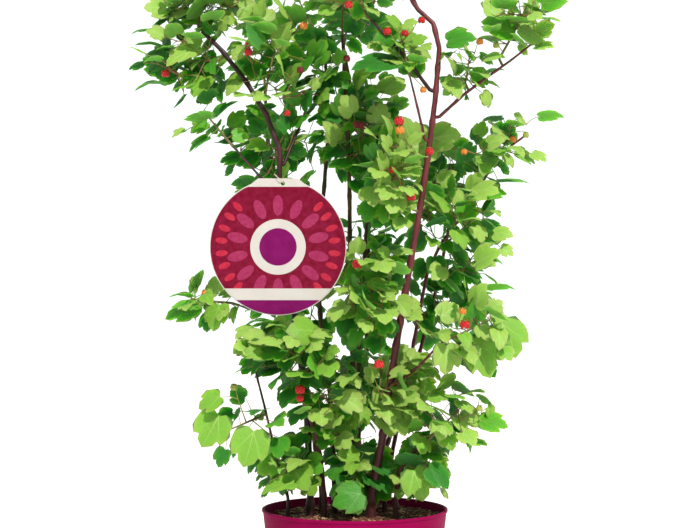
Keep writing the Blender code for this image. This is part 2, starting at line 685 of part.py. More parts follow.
def buds_on(route, bare):
    """Places for leaves along a twig, past a bare length at its foot."""
    buds = []
    lengths = run_lengths(route)
    at = bare
    while at < lengths[-1]:
        piece = max(i for i in range(len(route) - 1) if lengths[i] <= at)
        share = (at - lengths[piece]) / (lengths[piece + 1] - lengths[piece])
        buds.append(route[piece].lerp(route[piece + 1], share))
        at += BUD_STEP
    return buds


def leaf_frame(place, reach, rng, heading=None, face=None):
    """The midrib's direction and the blade's normal: turned up and out, the tip hanging a little."""
    if heading is not None:
        turn = math.radians(heading)
        midrib = Vector((math.cos(turn), -0.25 * face, math.sin(turn))).normalized()
        normal = Vector((0.1, -face, 1.15 - face))
    else:
        out = Vector((place.x, place.y - 0.02, 0)).normalized()
        jitter = Vector([rng.uniform(-1, 1) for _ in range(3)])
        light = Vector((-0.1, -0.45, 0.2))
        normal = Vector((0, 0, 0.75)) + 0.45 * out + light + 0.40 * jitter
        sway = Vector([rng.uniform(-1, 1) for _ in range(3)])
        midrib = 0.9 * reach + 0.35 * out + Vector((0, 0, -0.40)) + 0.30 * sway
    normal = normal - midrib * normal.dot(midrib) / midrib.length_squared
    return midrib.normalized(), normal.normalized()


def wanted_in(name, crown, rng):
    """What a mass is to carry, nearest its limb first: (kind, place, length, heading, face)."""
    index = crown.names.index(name)
    wanted = []
    for place, length, heading, face in OUTLINE_LEAVES:
        wanted.append(("leaf", Vector(place) * MM, length * MM, heading, face))
    for place in FRUITS:
        wanted.append(("fruit", Vector(place) * MM, 0, None, None))
    wanted = [item for item in wanted if crown.shares(np.array([tuple(item[1])])).argmin() == index]
    set_places = [item[1] for item in wanted]
    for place in spread_places(name, crown, MASSES[name][4], rng):
        if all((place - other).length > SPACING for other in set_places):
            wanted.append(("leaf", place, rng.uniform(*LEAF_LENGTH), None, None))
    return wanted


def grow_mass(name, crown, limbs, stems):
    """All shapes of one mass: its stem, then leaves and fruits from the nearest place outwards, each on
    the nearest bud, or on a new twig from there where it is farther off than a stalk reaches. Once all
    buds are taken, the stem bears again between its first ones."""
    rng = random.Random(name)
    route, radii = stems[name]
    shapes = [twig_shape(route, radii)]
    bare = STEM_BARE * run_lengths(route)[-1]
    buds = buds_on(route, bare) + [route[-1]]
    blades = []
    for kind, place, length, heading, face in sorted(wanted_in(name, crown, rng),
                                                     key=lambda item: (item[1] - route[0]).length):
        if not buds:
            buds = buds_on(route, bare + 0.5 * BUD_STEP)
        given = kind == "fruit" or heading is not None
        for attempt in range(GIVEN_TRIES if given else TRIES):
            strain = min(attempt, TRIES - 1)
            size = length * (1 - SHRINK * strain)
            spot = place + Vector([rng.uniform(-1, 1) for _ in range(3)]) * NUDGE * strain
            grown = grow_one(name, crown, buds, blades, kind, spot, size, heading, face, rng)
            if grown:
                shapes += grown
                break
    return shapes


def grow_one(name, crown, buds, blades, kind, place, length, heading, face, rng):
    """One leaf or fruit on its stalk or twig, or nothing where it doesn't fit."""
    bud = min(buds, key=lambda point: (point - place).length)
    reach = (place - bud).normalized()
    limit = LEAF_REACH
    if kind == "fruit":
        limit = FRUIT_REACH
    elif heading is not None:
        limit = OUTLINE_REACH
    else:
        place = bud + reach * max((place - bud).length, 0.42 * length + SHORTEST_STALK)
    if kind == "fruit":
        foot = place + Vector((0, 0, 0.5 * FRUIT_RADIUS))
    else:
        midrib, normal = leaf_frame(place, reach, rng, heading, face)
        foot = place - midrib * 0.42 * length
    gap = foot - bud
    twig = [bud]
    radii = [STALK_RADIUS]
    if gap.length > STALK_REACH:
        twig_end = foot - gap.normalized() * 0.5 * STALK_REACH + Vector((0, 0, -0.004))
        count = max(1, round((twig_end - bud).length / TWIG_STEP))
        twig = [bud.lerp(twig_end, i / count) for i in range(count + 1)]
        for i in range(1, count):
            twig[i] += Vector([rng.uniform(-1, 1) for _ in range(3)]) * 0.0020
        radii = [TWIG_RADIUS * (1 - 0.25 * i / count) for i in range(count + 1)]
    route = twig + [foot]
    if kind == "fruit":
        grown = [twig_shape(route, radii + [STALK_RADIUS]), fruit_shape(place)]
        blade = grown[-1]
    else:
        if gap.length < 0.005 or (foot - twig[-1]).normalized().dot(midrib) < 0.25:
            return []
        grown = [leaf_shape(route, radii, midrib, normal, length)]
        blade = blade_of(grown[-1])
    lines = [line_samples(a, b) for a, b in zip(route, route[1:])]
    samples = np.vstack([samples_of(blade)] + lines)
    if not crown.free(name, samples, limit) or any(crown.crosses(shape) for shape in grown):
        return []
    if any(cross(grown[0], other) for other in blades):
        return []
    blades.append(blade)
    buds.remove(bud)
    if len(twig) > 1:
        buds += buds_on(twig, BUD_STEP) + [twig[-1]]
    return grown


def blade_of(shape):
    """The leaf without its stalk, and a little larger all round."""
    points, faces = shape
    first = len(points) - NECK_STEPS - 4
    return points[first:], [tuple(i - first for i in face) for face in faces if min(face) >= first]


def cross(one, other):
    trees = [BVHTree.FromPolygons([tuple(point) for point in points], faces, epsilon=GAP)
             for points, faces in (one, other)]
    return bool(trees[0].overlap(trees[1]))


def largest_piece(mesh):
    """Drops loose scraps and sealed hollows: keeps only the piece with the most vertices."""
    work = bmesh.new()
    work.from_mesh(mesh)
    left = set(work.verts)
    pieces = []
    while left:
        piece = {left.pop()}
        edge = list(piece)
        while edge:
            vertex = edge.pop()
            for link in vertex.link_edges:
                other = link.other_vert(vertex)
                if other not in piece:
                    piece.add(other)
                    edge.append(other)
        left -= piece
        pieces.append(piece)
    pieces.sort(key=len)
    bmesh.ops.delete(work, geom=[vertex for piece in pieces[:-1] for vertex in piece], context="VERTS")
    bmesh.ops.triangulate(work, faces=work.faces[:])
    work.to_mesh(mesh)
    work.free()
    return len(pieces) - 1


def add_mass(name, shapes, parts, material):
    """Joins a mass's shapes with one Boolean union on a collection, applied."""
    operands = new_collection(name + "_operands")
    mass = mesh_object(name, *shapes[0], parts, material)
    for number, shape in enumerate(shapes[1:]):
        mesh_object(f"{name}_operand_{number}", *shape, operands)
    union = mass.modifiers.new("Join", "BOOLEAN")
    union.operation = "UNION"
    union.operand_type = "COLLECTION"
    union.collection = operands
    union.solver = "EXACT"
    bpy.context.view_layer.update()
    evaluated = mass.evaluated_get(bpy.context.evaluated_depsgraph_get())
    joined = bpy.data.meshes.new_from_object(evaluated)
    mass.modifiers.clear()
    mass.data = joined
    joined.name = name
    scraps = largest_piece(joined)
    for obj in list(operands.objects):
        bpy.data.objects.remove(obj, do_unlink=True)
    bpy.data.collections.remove(operands)
    return len(joined.polygons), scraps


def main():
    clear_scene()
    parts = new_collection("potted_bramble")
    cutters = new_collection("cutters")
    materials = {name: make_material(name) for name in MATERIALS}
    firm = [
        add_pot(parts, cutters, materials["pot plastic"]),
        add_soil(parts, materials["soil"]),
        add_tag(parts, materials["tag card"]),
    ]
    limbs = {}
    for name, (foot, tip, sides, points) in CANES.items():
        limbs[name] = cane_route(foot, tip, points)
        bark = materials["old cane bark" if name in OLD_CANES else "cane bark"]
        firm.append(limb_object(name, *limbs[name], sides, parts, bark))
    for name, (parent, height, foot, tip, points) in BOUGHS.items():
        limbs[name] = bough_route(limbs, parent, height, foot, tip, points)
        firm.append(limb_object(name, *limbs[name], 6, parts, materials["cane bark"]))
    firm.append(add_tie(parts, materials["tag tie"], limbs))
    bpy.context.view_layer.update()
    crown = Crown(limbs)
    crown.keep([solid_of(obj) for obj in firm])
    stems = {}
    for name in MASSES:
        stems[name] = stem_of(name, limbs, crown)
        crown.add_tube(*stems[name], name)
    total = 0
    for name in MASSES:
        shapes = grow_mass(name, crown, limbs, stems)
        faces, scraps = add_mass(name, shapes, parts, materials["foliage"])
        crown.keep(shapes)
        total += faces
        print(f"{name}: {len(shapes)} shapes, {faces} faces, {scraps} scraps dropped")
    print(f"masses hold {total} faces")


main()
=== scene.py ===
import math
import random

import bmesh
import bpy
import numpy as np
from mathutils import Euler, Matrix, Vector
from mathutils.geometry import delaunay_2d_cdt


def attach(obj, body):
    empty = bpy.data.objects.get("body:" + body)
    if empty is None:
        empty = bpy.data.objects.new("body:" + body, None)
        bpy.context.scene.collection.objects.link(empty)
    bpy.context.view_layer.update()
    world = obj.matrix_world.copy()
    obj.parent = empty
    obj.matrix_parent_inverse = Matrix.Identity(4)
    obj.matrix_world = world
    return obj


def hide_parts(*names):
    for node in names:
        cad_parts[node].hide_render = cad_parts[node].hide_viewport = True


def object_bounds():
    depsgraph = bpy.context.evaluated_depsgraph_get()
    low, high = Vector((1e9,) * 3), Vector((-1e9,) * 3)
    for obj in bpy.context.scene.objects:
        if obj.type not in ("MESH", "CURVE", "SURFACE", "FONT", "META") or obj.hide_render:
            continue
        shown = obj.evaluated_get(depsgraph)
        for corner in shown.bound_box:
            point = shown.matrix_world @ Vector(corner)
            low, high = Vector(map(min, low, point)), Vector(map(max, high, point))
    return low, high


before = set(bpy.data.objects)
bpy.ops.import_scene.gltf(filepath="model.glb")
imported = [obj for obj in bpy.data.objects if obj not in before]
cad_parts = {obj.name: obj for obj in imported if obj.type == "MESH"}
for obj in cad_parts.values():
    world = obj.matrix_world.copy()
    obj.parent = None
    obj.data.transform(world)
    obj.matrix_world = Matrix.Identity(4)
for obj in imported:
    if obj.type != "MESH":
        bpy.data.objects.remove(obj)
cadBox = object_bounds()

mm = 0.001

# The potted bramble, dressed: canes with bark, twigs and leaves grown on from them by the same rule as
# the solids, berries, a moulded pot with its soil, and a printed card tag. Metres, front is -Y.


def toLinear(hexColour):
    parts = [int(hexColour[i:i + 2], 16) / 255 for i in (1, 3, 5)]
    return tuple(c / 12.92 if c <= 0.04045 else ((c + 0.055) / 1.055) ** 2.4 for c in parts) + (1,)


def addNode(tree, kind, values=None, links=None, **settings):
    node = tree.nodes.new(kind)
    for key, value in settings.items():
        setattr(node, key, value)
    for socket, value in (values or {}).items():
        node.inputs[socket].default_value = value
    for socket, source in (links or {}).items():
        tree.links.new(source, node.inputs[socket])
    return node


def newMaterial(name, colour, roughness, ior=1.5, **more):
    material = bpy.data.materials.new(name)
    material.use_nodes = True
    shader = material.node_tree.nodes["Principled BSDF"]
    shader.inputs["Base Color"].default_value = toLinear(colour)
    shader.inputs["Roughness"].default_value = roughness
    shader.inputs["IOR"].default_value = ior
    for socket, value in more.items():
        shader.inputs[socket.replace("_", " ")].default_value = value
    return material, material.node_tree, shader


def noiseField(tree, grain, detail=3.0, stretch=(1, 1, 1)):
    # noise on object coordinates, grain being the real size of its patches in metres
    place = addNode(tree, "ShaderNodeTexCoord").outputs["Object"]
    mapped = addNode(tree, "ShaderNodeMapping", {"Scale": stretch}, {"Vector": place}).outputs["Vector"]
    return addNode(tree, "ShaderNodeTexNoise", {"Scale": 1 / grain, "Detail": detail}, {"Vector": mapped}).outputs["Fac"]


def colourRamp(tree, source, stops):
    ramp = addNode(tree, "ShaderNodeValToRGB", links={"Fac": source})
    while len(ramp.color_ramp.elements) < len(stops):
        ramp.color_ramp.elements.new(0.5)
    for element, (at, colour) in zip(ramp.color_ramp.elements, stops):
        element.position = at
        element.color = toLinear(colour)
    return ramp.outputs["Color"]


def addBump(tree, shader, height, strength, distance):
    bump = addNode(tree, "ShaderNodeBump", {"Strength": strength, "Distance": distance}, {"Height": height})
    tree.links.new(bump.outputs["Normal"], shader.inputs["Normal"])


# Geometry Nodes

def newTree(name, inputs):
    tree = bpy.data.node_groups.new(name, "GeometryNodeTree")
    tree.interface.new_socket("Geometry", in_out="INPUT", socket_type="NodeSocketGeometry")
    for label, kind in inputs:
        tree.interface.new_socket(label, in_out="INPUT", socket_type=kind)
    tree.interface.new_socket("Geometry", in_out="OUTPUT", socket_type="NodeSocketGeometry")
    start = tree.nodes.new("NodeGroupInput")
    return tree, start.outputs


def endTree(tree, geometry):
    out = tree.nodes.new("NodeGroupOutput")
    tree.links.new(geometry, out.inputs["Geometry"])


def runTree(obj, tree, settings, name):
    # the tree's result as a plain mesh object of its own, at the origin
    modifier = obj.modifiers.new("nodes", "NODES")
    modifier.node_group = tree
    for item in tree.interface.items_tree:
        if item.in_out == "INPUT" and item.name in settings:
            modifier[item.identifier] = settings[item.name]
    bpy.context.view_layer.update()
    mesh = bpy.data.meshes.new_from_object(obj.evaluated_get(bpy.context.evaluated_depsgraph_get()))
    obj.modifiers.remove(modifier)
    bpy.data.objects.remove(obj)
    mesh.name = name
    piece = bpy.data.objects.new(name, mesh)
    bpy.context.scene.collection.objects.link(piece)
    return piece


def tubeTree():
    # curves with radii become round tubes, their skin raised by a noise of a given grain and height
    tree, given = newTree("barkTube", [("Sides", "NodeSocketInt"), ("Ring Step", "NodeSocketFloat"),
                                       ("Relief", "NodeSocketFloat"), ("Grain", "NodeSocketFloat"),
                                       ("Material", "NodeSocketMaterial")])
    fine = addNode(tree, "GeometryNodeResampleCurve", links={"Curve": given["Geometry"], "Length": given["Ring Step"]},
                   mode="LENGTH")
    circle = addNode(tree, "GeometryNodeCurvePrimitiveCircle", {"Radius": 1.0}, {"Resolution": given["Sides"]})
    width = addNode(tree, "GeometryNodeInputRadius")
    tube = addNode(tree, "GeometryNodeCurveToMesh", {"Fill Caps": True},
                   {"Curve": fine.outputs["Curve"], "Profile Curve": circle.outputs["Curve"],
                    "Scale": width.outputs["Radius"]})
    perGrain = addNode(tree, "ShaderNodeMath", {0: 1.0}, {1: given["Grain"]}, operation="DIVIDE")
    bark = addNode(tree, "ShaderNodeTexNoise", {"Detail": 2.0}, {"Scale": perGrain.outputs[0]})
    level = addNode(tree, "ShaderNodeMath", {1: 0.5}, {0: bark.outputs["Fac"]}, operation="SUBTRACT")
    height = addNode(tree, "ShaderNodeMath", links={0: level.outputs[0], 1: given["Relief"]}, operation="MULTIPLY")
    outward = addNode(tree, "GeometryNodeInputNormal")
    push = addNode(tree, "ShaderNodeVectorMath", links={0: outward.outputs["Normal"], "Scale": height.outputs[0]},
                   operation="SCALE")
    raised = addNode(tree, "GeometryNodeSetPosition", links={"Geometry": tube.outputs["Mesh"],
                                                             "Offset": push.outputs["Vector"]})
    smooth = addNode(tree, "GeometryNodeSetShadeSmooth", links={"Geometry": raised.outputs["Geometry"]})
    made = addNode(tree, "GeometryNodeSetMaterial", links={"Geometry": smooth.outputs["Geometry"],
                                                           "Material": given["Material"]})
    endTree(tree, made.outputs["Geometry"])
    return tree


def scatterTree(name, zones):
    # points with a turn, a size and a kind become copies of the shapes in a collection, made real; each
    # face's zone number says which of the materials it gets
    tree, given = newTree(name, [("Shapes", "NodeSocketCollection")]
                          + [(f"Material {zone}", "NodeSocketMaterial") for zone in range(zones)])
    shapes = addNode(tree, "GeometryNodeCollectionInfo", {"Separate Children": True, "Reset Children": True},
                     {"Collection": given["Shapes"]}, transform_space="ORIGINAL")
    turn = addNode(tree, "GeometryNodeInputNamedAttribute", {"Name": "turn"}, data_type="FLOAT_VECTOR")
    size = addNode(tree, "GeometryNodeInputNamedAttribute", {"Name": "size"}, data_type="FLOAT_VECTOR")
    kind = addNode(tree, "GeometryNodeInputNamedAttribute", {"Name": "kind"}, data_type="INT")
    rotation = addNode(tree, "FunctionNodeEulerToRotation", links={"Euler": turn.outputs["Attribute"]})
    placed = addNode(tree, "GeometryNodeInstanceOnPoints", {"Pick Instance": True},
                     {"Points": given["Geometry"], "Instance": shapes.outputs[0],
                      "Instance Index": kind.outputs["Attribute"], "Rotation": rotation.outputs["Rotation"],
                      "Scale": size.outputs["Attribute"]})
    real = addNode(tree, "GeometryNodeRealizeInstances", links={"Geometry": placed.outputs["Instances"]})
    geometry = real.outputs["Geometry"]
    for zone in range(zones):
        mark = addNode(tree, "GeometryNodeInputNamedAttribute", {"Name": "zone"}, data_type="INT")
        chosen = addNode(tree, "FunctionNodeCompare", {3: zone}, {2: mark.outputs["Attribute"]}, data_type="INT",
                         operation="EQUAL")
        painted = addNode(tree, "GeometryNodeSetMaterial",
                          links={"Geometry": geometry, "Selection": chosen.outputs["Result"],
                                 "Material": given[f"Material {zone}"]})
        geometry = painted.outputs["Geometry"]
    endTree(tree, geometry)
    return tree


def pointCloud(name, items):
    # items are (place, turn, size, kind); the mesh has one loose vertex for each
    mesh = bpy.data.meshes.new(name)
    mesh.from_pydata([tuple(item[0]) for item in items], [], [])
    for label, dataType in (("turn", "FLOAT_VECTOR"), ("size", "FLOAT_VECTOR"), ("kind", "INT")):
        mesh.attributes.new(label, dataType, "POINT")
    mesh.attributes["turn"].data.foreach_set("vector", [c for item in items for c in item[1]])
    mesh.attributes["size"].data.foreach_set("vector", [c for item in items for c in item[2]])
    mesh.attributes["kind"].data.foreach_set("value", [item[3] for item in items])
    obj = bpy.data.objects.new(name, mesh)
    bpy.context.scene.collection.objects.link(obj)
    return obj


def shapeCollection(name):
    # kept out of the scene, so that only its copies show
    return bpy.data.collections.new(name)


def addShape(collection, name, points, faces, zones, smooth=True):
    mesh = bpy.data.meshes.new(name)
    mesh.from_pydata([tuple(p) for p in points], [], faces)
    mark = mesh.attributes.new("zone", "INT", "FACE")
    for i, zone in enumerate(zones):
        mark.data[i].value = zone
    if smooth:
        mesh.shade_smooth()
        mesh.set_sharp_from_angle(angle=math.radians(70))  # keeps a thin rim from shading as a roll
    obj = bpy.data.objects.new(name, mesh)
    collection.objects.link(obj)
    return obj


# Camera, light and floor

view = {"place": (-0.0183, -2.207, 0.5024), "lens": 94.29, "keyTurn": (math.radians(40), 0, math.radians(24)),
        "keyStrength": 3.85, "worldStrength": 0.5, "backdrop": 1.25, "floorHalf": 8.0}


def addStage():
    camera = bpy.data.objects.new("camera", bpy.data.cameras.new("camera"))
    camera.data.lens = view["lens"]
    camera.data.sensor_width = 36
    camera.location = view["place"]
    camera.rotation_euler = (math.pi / 2, 0, 0)
    bpy.context.scene.collection.objects.link(camera)
    bpy.context.scene.camera = camera

    key = bpy.data.objects.new("key_light", bpy.data.lights.new("key_light", "SUN"))
    key.data.energy = view["keyStrength"]
    key.data.angle = math.radians(1.8)  # crisp leaf shadows with a little softness
    key.data.color = (1.0, 0.905, 0.85)
    key.rotation_euler = view["keyTurn"]
    bpy.context.scene.collection.objects.link(key)

    world = bpy.data.worlds.new("white room")
    world.use_nodes = True
    background = world.node_tree.nodes["Background"]
    background.inputs["Color"].default_value = (0.91, 1, 0.95, 1)
    sight = addNode(world.node_tree, "ShaderNodeLightPath")
    level = addNode(world.node_tree, "ShaderNodeMix", {"A": view["worldStrength"], "B": view["backdrop"]},
                    {"Factor": sight.outputs["Is Camera Ray"]})
    world.node_tree.links.new(level.outputs["Result"], background.inputs["Strength"])
    bpy.context.scene.world = world
    bpy.context.scene.view_settings.view_transform = "Standard"

    material, tree, shader = newMaterial("painted floor, matt white", "#F4F4F2", 0.9,
                                         Emission_Color=(1, 1, 1, 1), Emission_Strength=0.22)
    half = view["floorHalf"]
    mesh = bpy.data.meshes.new("floor")
    mesh.from_pydata([(-half, -half, 0), (half, -half, 0), (half, half, 0), (-half, half, 0)], [], [(0, 1, 2, 3)])
    mesh.materials.append(material)
    floor = bpy.data.objects.new("floor", mesh)
    bpy.context.scene.collection.objects.link(floor)
    print("stage ready")


# Pot and soil

pot = {"rimRadius": 0.115, "baseRadius": 0.0905, "height": 0.200, "wall": 0.0024, "floor": 0.0030,
       "lipHeight": 0.0030, "lipProud": 0.0010, "lipRound": 0.0009, "chamfer": 0.0030, "steps": 128,
       "holes": 6, "holeRadius": 0.0045, "holeRing": 0.066}
soil = {"belowRim": 0.0094, "rise": 0.0045, "crumbs": 1500, "chips": 420, "seed": 5}


def potOuterRadius(height):
    return pot["baseRadius"] + (pot["rimRadius"] - pot["lipProud"] - pot["baseRadius"]) * height / pot["height"]


def roundedCorner(corner, fromPoint, toPoint, radius, steps=4):
    # a quadratic arc that rounds one corner of a profile
    corner, a, b = Vector(corner), Vector(fromPoint), Vector(toPoint)
    start = corner + (a - corner).normalized() * radius
    end = corner + (b - corner).normalized() * radius
    return [tuple(start.lerp(corner, i / steps).lerp(corner.lerp(end, i / steps), i / steps)) for i in range(steps + 1)]


def turnedMesh(name, profile, steps):
    # a profile of (radius, height) points, its outer side running down, spun about Z
    work = bmesh.new()
    ring = [work.verts.new((radius, 0, height)) for radius, height in profile]
    for a, b in zip(ring, ring[1:]):
        work.edges.new((a, b))
    bmesh.ops.spin(work, geom=work.verts[:] + work.edges[:], cent=(0, 0, 0), axis=(0, 0, 1), dvec=(0, 0, 0),
                   angle=2 * math.pi, steps=steps, use_merge=False, use_duplicate=False)
    bmesh.ops.remove_doubles(work, verts=work.verts[:], dist=0.00002)
    bmesh.ops.recalc_face_normals(work, faces=work.faces[:])
    mesh = bpy.data.meshes.new(name)
    work.to_mesh(mesh)
    work.free()
    mesh.shade_smooth()
    mesh.set_sharp_from_angle(angle=math.radians(35))
    return mesh


def addPot():
    # injection-moulded polypropylene: even deep pink with a soft sheen and the faint flow lines of moulding
    material, tree, shader = newMaterial("polypropylene, injection moulded", "#860644", 0.5, 1.46, Specular_IOR_Level=0.03)
    blotch = noiseField(tree, 0.045, 2.0)
    colour = colourRamp(tree, blotch, [(0.3, "#80043F"), (0.7, "#8C0748")])
    tree.links.new(colour, shader.inputs["Base Color"])
    flow = noiseField(tree, 0.0035, 2.0, (1, 1, 0.12))
    addBump(tree, shader, flow, 0.06, 0.0004)

    h, lipFoot = pot["height"], pot["height"] - pot["lipHeight"]
    innerTop = (potOuterRadius(h) - pot["wall"], h)
    outerTop = (pot["rimRadius"], h)
    lipLow = (pot["rimRadius"], lipFoot)
    lipBack = (potOuterRadius(lipFoot), lipFoot - pot["lipRound"])
    chamferTop = (potOuterRadius(pot["chamfer"]), pot["chamfer"])
    base = (pot["baseRadius"] - pot["chamfer"], 0)
    inFloor = (potOuterRadius(pot["floor"]) - pot["wall"], pot["floor"])
    round1 = pot["lipRound"]
    profile = [(0, pot["floor"]), inFloor]
    profile += roundedCorner(innerTop, inFloor, outerTop, 0.6 * round1)
    profile += roundedCorner(outerTop, innerTop, lipLow, round1)
    profile += roundedCorner(lipLow, outerTop, lipBack, 0.5 * round1)
    profile += [lipBack] + roundedCorner(chamferTop, lipBack, base, round1) + [base, (0, 0)]
    mesh = turnedMesh("pot_shell", profile, pot["steps"])
    mesh.materials.append(material)
    shell = bpy.data.objects.new("pot_shell", mesh)
    bpy.context.scene.collection.objects.link(shell)

    drill = bmesh.new()
    for i in range(pot["holes"]):
        turn = 2 * math.pi * (i + 0.5) / pot["holes"]
        made = bmesh.ops.create_cone(drill, cap_ends=True, segments=24, radius1=pot["holeRadius"],
                                     radius2=pot["holeRadius"], depth=4 * pot["floor"])
        place = Vector((pot["holeRing"] * math.cos(turn), pot["holeRing"] * math.sin(turn), pot["floor"] / 2))
        bmesh.ops.translate(drill, verts=made["verts"], vec=place)
    drillMesh = bpy.data.meshes.new("drain drill")
    drill.to_mesh(drillMesh)
    drill.free()
    cutter = bpy.data.objects.new("drain drill", drillMesh)
    bpy.context.scene.collection.objects.link(cutter)
    cut = shell.modifiers.new("drain holes", "BOOLEAN")
    cut.operation = "DIFFERENCE"
    cut.object = cutter
    bpy.context.view_layer.update()
    shell.data = bpy.data.meshes.new_from_object(shell.evaluated_get(bpy.context.evaluated_depsgraph_get()))
    shell.modifiers.clear()
    bpy.data.objects.remove(cutter)
    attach(shell, "root")
    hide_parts("pot")
    print("pot ready")


def soilHeight(x, y):
    # low heaps of two sizes, sinking toward the wall
    from mathutils.noise import noise
    wave = noise(Vector((x, y, 0)) / 0.034) * 0.6 + noise(Vector((x, y, 0.5)) / 0.011) * 0.35
    edge = max(0.0, math.hypot(x, y) / 0.106 - 0.85) / 0.15
    return pot["height"] - soil["belowRim"] + soil["rise"] * wave * (1 - edge) - 0.0012 * edge


def addSoil():
    # damp bark and peat: near-black brown, matt, with paler bits lying on it
    material, tree, shader = newMaterial("peat and bark compost, damp", "#3A2418", 0.96)
    patch = noiseField(tree, 0.006, 6.0)
    # painted light: the ramp's browns are lighter than the damp compost, to make up for the shade the foliage and pot
    # wall cast on it
    tree.links.new(colourRamp(tree, patch, [(0.25, "#6C4634"), (0.5, "#A07254"), (0.75, "#C09272")]),
                   shader.inputs["Base Color"])
    addBump(tree, shader, noiseField(tree, 0.0022, 6.0), 0.7, 0.001)

    top = pot["height"] - soil["belowRim"]
    radius = potOuterRadius(top) - pot["wall"] - 0.0003
    work = bmesh.new()
    rings, spokes = 34, 96
    middle = work.verts.new((0, 0, soilHeight(0, 0)))
    previous = None
    for r in range(1, rings + 1):
        ring = []
        for s in range(spokes):
            x, y = (radius * r / rings * f(2 * math.pi * s / spokes) for f in (math.cos, math.sin))
            ring.append(work.verts.new((x, y, soilHeight(x, y))))
        for s in range(spokes):
            t = (s + 1) % spokes
            if previous is None:
                work.faces.new((middle, ring[s], ring[t]))
            else:
                work.faces.new((previous[s], ring[s], ring[t], previous[t]))
        previous = ring
    bottomHeight = pot["floor"] + 0.0003
    bottomRadius = potOuterRadius(bottomHeight) - pot["wall"] - 0.0003
    foot = [work.verts.new((bottomRadius * math.cos(2 * math.pi * s / spokes),
                            bottomRadius * math.sin(2 * math.pi * s / spokes), bottomHeight)) for s in range(spokes)]
    for s in range(spokes):
        t = (s + 1) % spokes
        work.faces.new((previous[s], foot[s], foot[t], previous[t]))
    work.faces.new(list(reversed(foot)))
    mesh = bpy.data.meshes.new("soil_bed")
    bmesh.ops.recalc_face_normals(work, faces=work.faces[:])
    work.to_mesh(mesh)
    work.free()
    mesh.shade_smooth()
    mesh.materials.append(material)
    bed = bpy.data.objects.new("soil_bed", mesh)
    bpy.context.scene.collection.objects.link(bed)
    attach(bed, "root")
    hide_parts("soil")

    # crumbs and chips lying on it
    rng = random.Random(soil["seed"])
    shapes = shapeCollection("soil shapes")
    for number in range(4):
        ball = bmesh.new()
        bmesh.ops.create_icosphere(ball, subdivisions=1, radius=1)
        flat = (1, 1, 0.7) if number < 2 else (1.7, 0.75, 0.28)
        for vertex in ball.verts:
            vertex.co *= rng.uniform(0.72, 1.15)
            vertex.co = Vector([c * f for c, f in zip(vertex.co, flat)])
        addShape(shapes, f"soil shape {number}", [v.co for v in ball.verts],
                 [tuple(v.index for v in f.verts) for f in ball.faces], [0] * len(ball.faces), smooth=False)
        ball.free()
    tree = scatterTree("soil bits", 1)
    looks = {
        "soil_crumbs": ("compost crumb, damp peat", "#5A3E2C", soil["crumbs"], (0, 1), (0.0008, 0.0021)),
        "soil_bark": ("pine bark chip, composted", "#66402E", soil["chips"], (2, 3), (0.0016, 0.0042)),
        "soil_straw": ("coir and wood fibre, dry", "#B49A74", soil["chips"] // 2, (2, 3), (0.0012, 0.0034)),
    }
    for name, (label, colour, count, kinds, sizes) in looks.items():
        bitMaterial, bitTree, bitShader = newMaterial(label, colour, 0.9)
        addBump(bitTree, bitShader, noiseField(bitTree, 0.0009, 3.0), 0.5, 0.0004)
        items = []
        for _ in range(count):
            reach = (radius - 0.003) * math.sqrt(rng.random())
            turn = rng.uniform(0, 2 * math.pi)
            x, y = reach * math.cos(turn), reach * math.sin(turn)
            size = rng.uniform(*sizes)
            items.append(((x, y, soilHeight(x, y) + 0.25 * size), (rng.gauss(0, 0.35), rng.gauss(0, 0.35), rng.uniform(0, 6.3)),
                          (size, size, size), rng.choice(kinds)))
        bits = runTree(pointCloud(name, items), tree, {"Shapes": shapes, "Material 0": bitMaterial}, name)
        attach(bits, "root")
    print("soil ready")


# Card tag: a plain rosette print in the colours of its surroundings

tag = {"centre": Vector((-0.0930, -0.0605, 0.5230)), "radius": 0.0826, "thickness": 0.0012, "layer": 0.00012,
       "field": 0.0814, "petals": 14}


def flatPiece(name, outline, depth, material):
    # an outline of (across, up) points as a thin sheet on the front of the card
    front = tag["centre"].y - tag["thickness"] / 2
    near, far = front - depth, front + 0.00002
    count = len(outline)
    points = [(tag["centre"].x + x, near, tag["centre"].z + z) for x, z in outline]
    points += [(x, far, z) for x, _, z in points]
    faces = [tuple(range(count)), tuple(reversed(range(count, 2 * count)))]
    faces += [(i, i + count, (i + 1) % count + count, (i + 1) % count) for i in range(count)]
    mesh = bpy.data.meshes.new(name)
    mesh.from_pydata(points, [], faces)
    work = bmesh.new()
    work.from_mesh(mesh)
    bmesh.ops.recalc_face_normals(work, faces=work.faces[:])
    work.to_mesh(mesh)
    work.free()
    mesh.materials.append(material)
    obj = bpy.data.objects.new(name, mesh)
    bpy.context.scene.collection.objects.link(obj)
    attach(obj, "root")
    return obj


def circleOutline(radius, steps=72, cutTop=None, middle=(0, 0)):
    ring = [(middle[0] + radius * math.cos(2 * math.pi * i / steps), middle[1] + radius * math.sin(2 * math.pi * i / steps))
            for i in range(steps)]
    return [(x, min(z, cutTop)) if cutTop else (x, z) for x, z in ring]


def printInk(name, colour, other, grain):
    # offset ink on coated board: a fine mottle, and the board's faint gloss
    material, tree, shader = newMaterial(name, colour, 0.42, 1.5, Specular_IOR_Level=0.1)
    tree.links.new(colourRamp(tree, noiseField(tree, grain, 4.0), [(0.35, colour), (0.65, other)]),
                   shader.inputs["Base Color"])
    return material


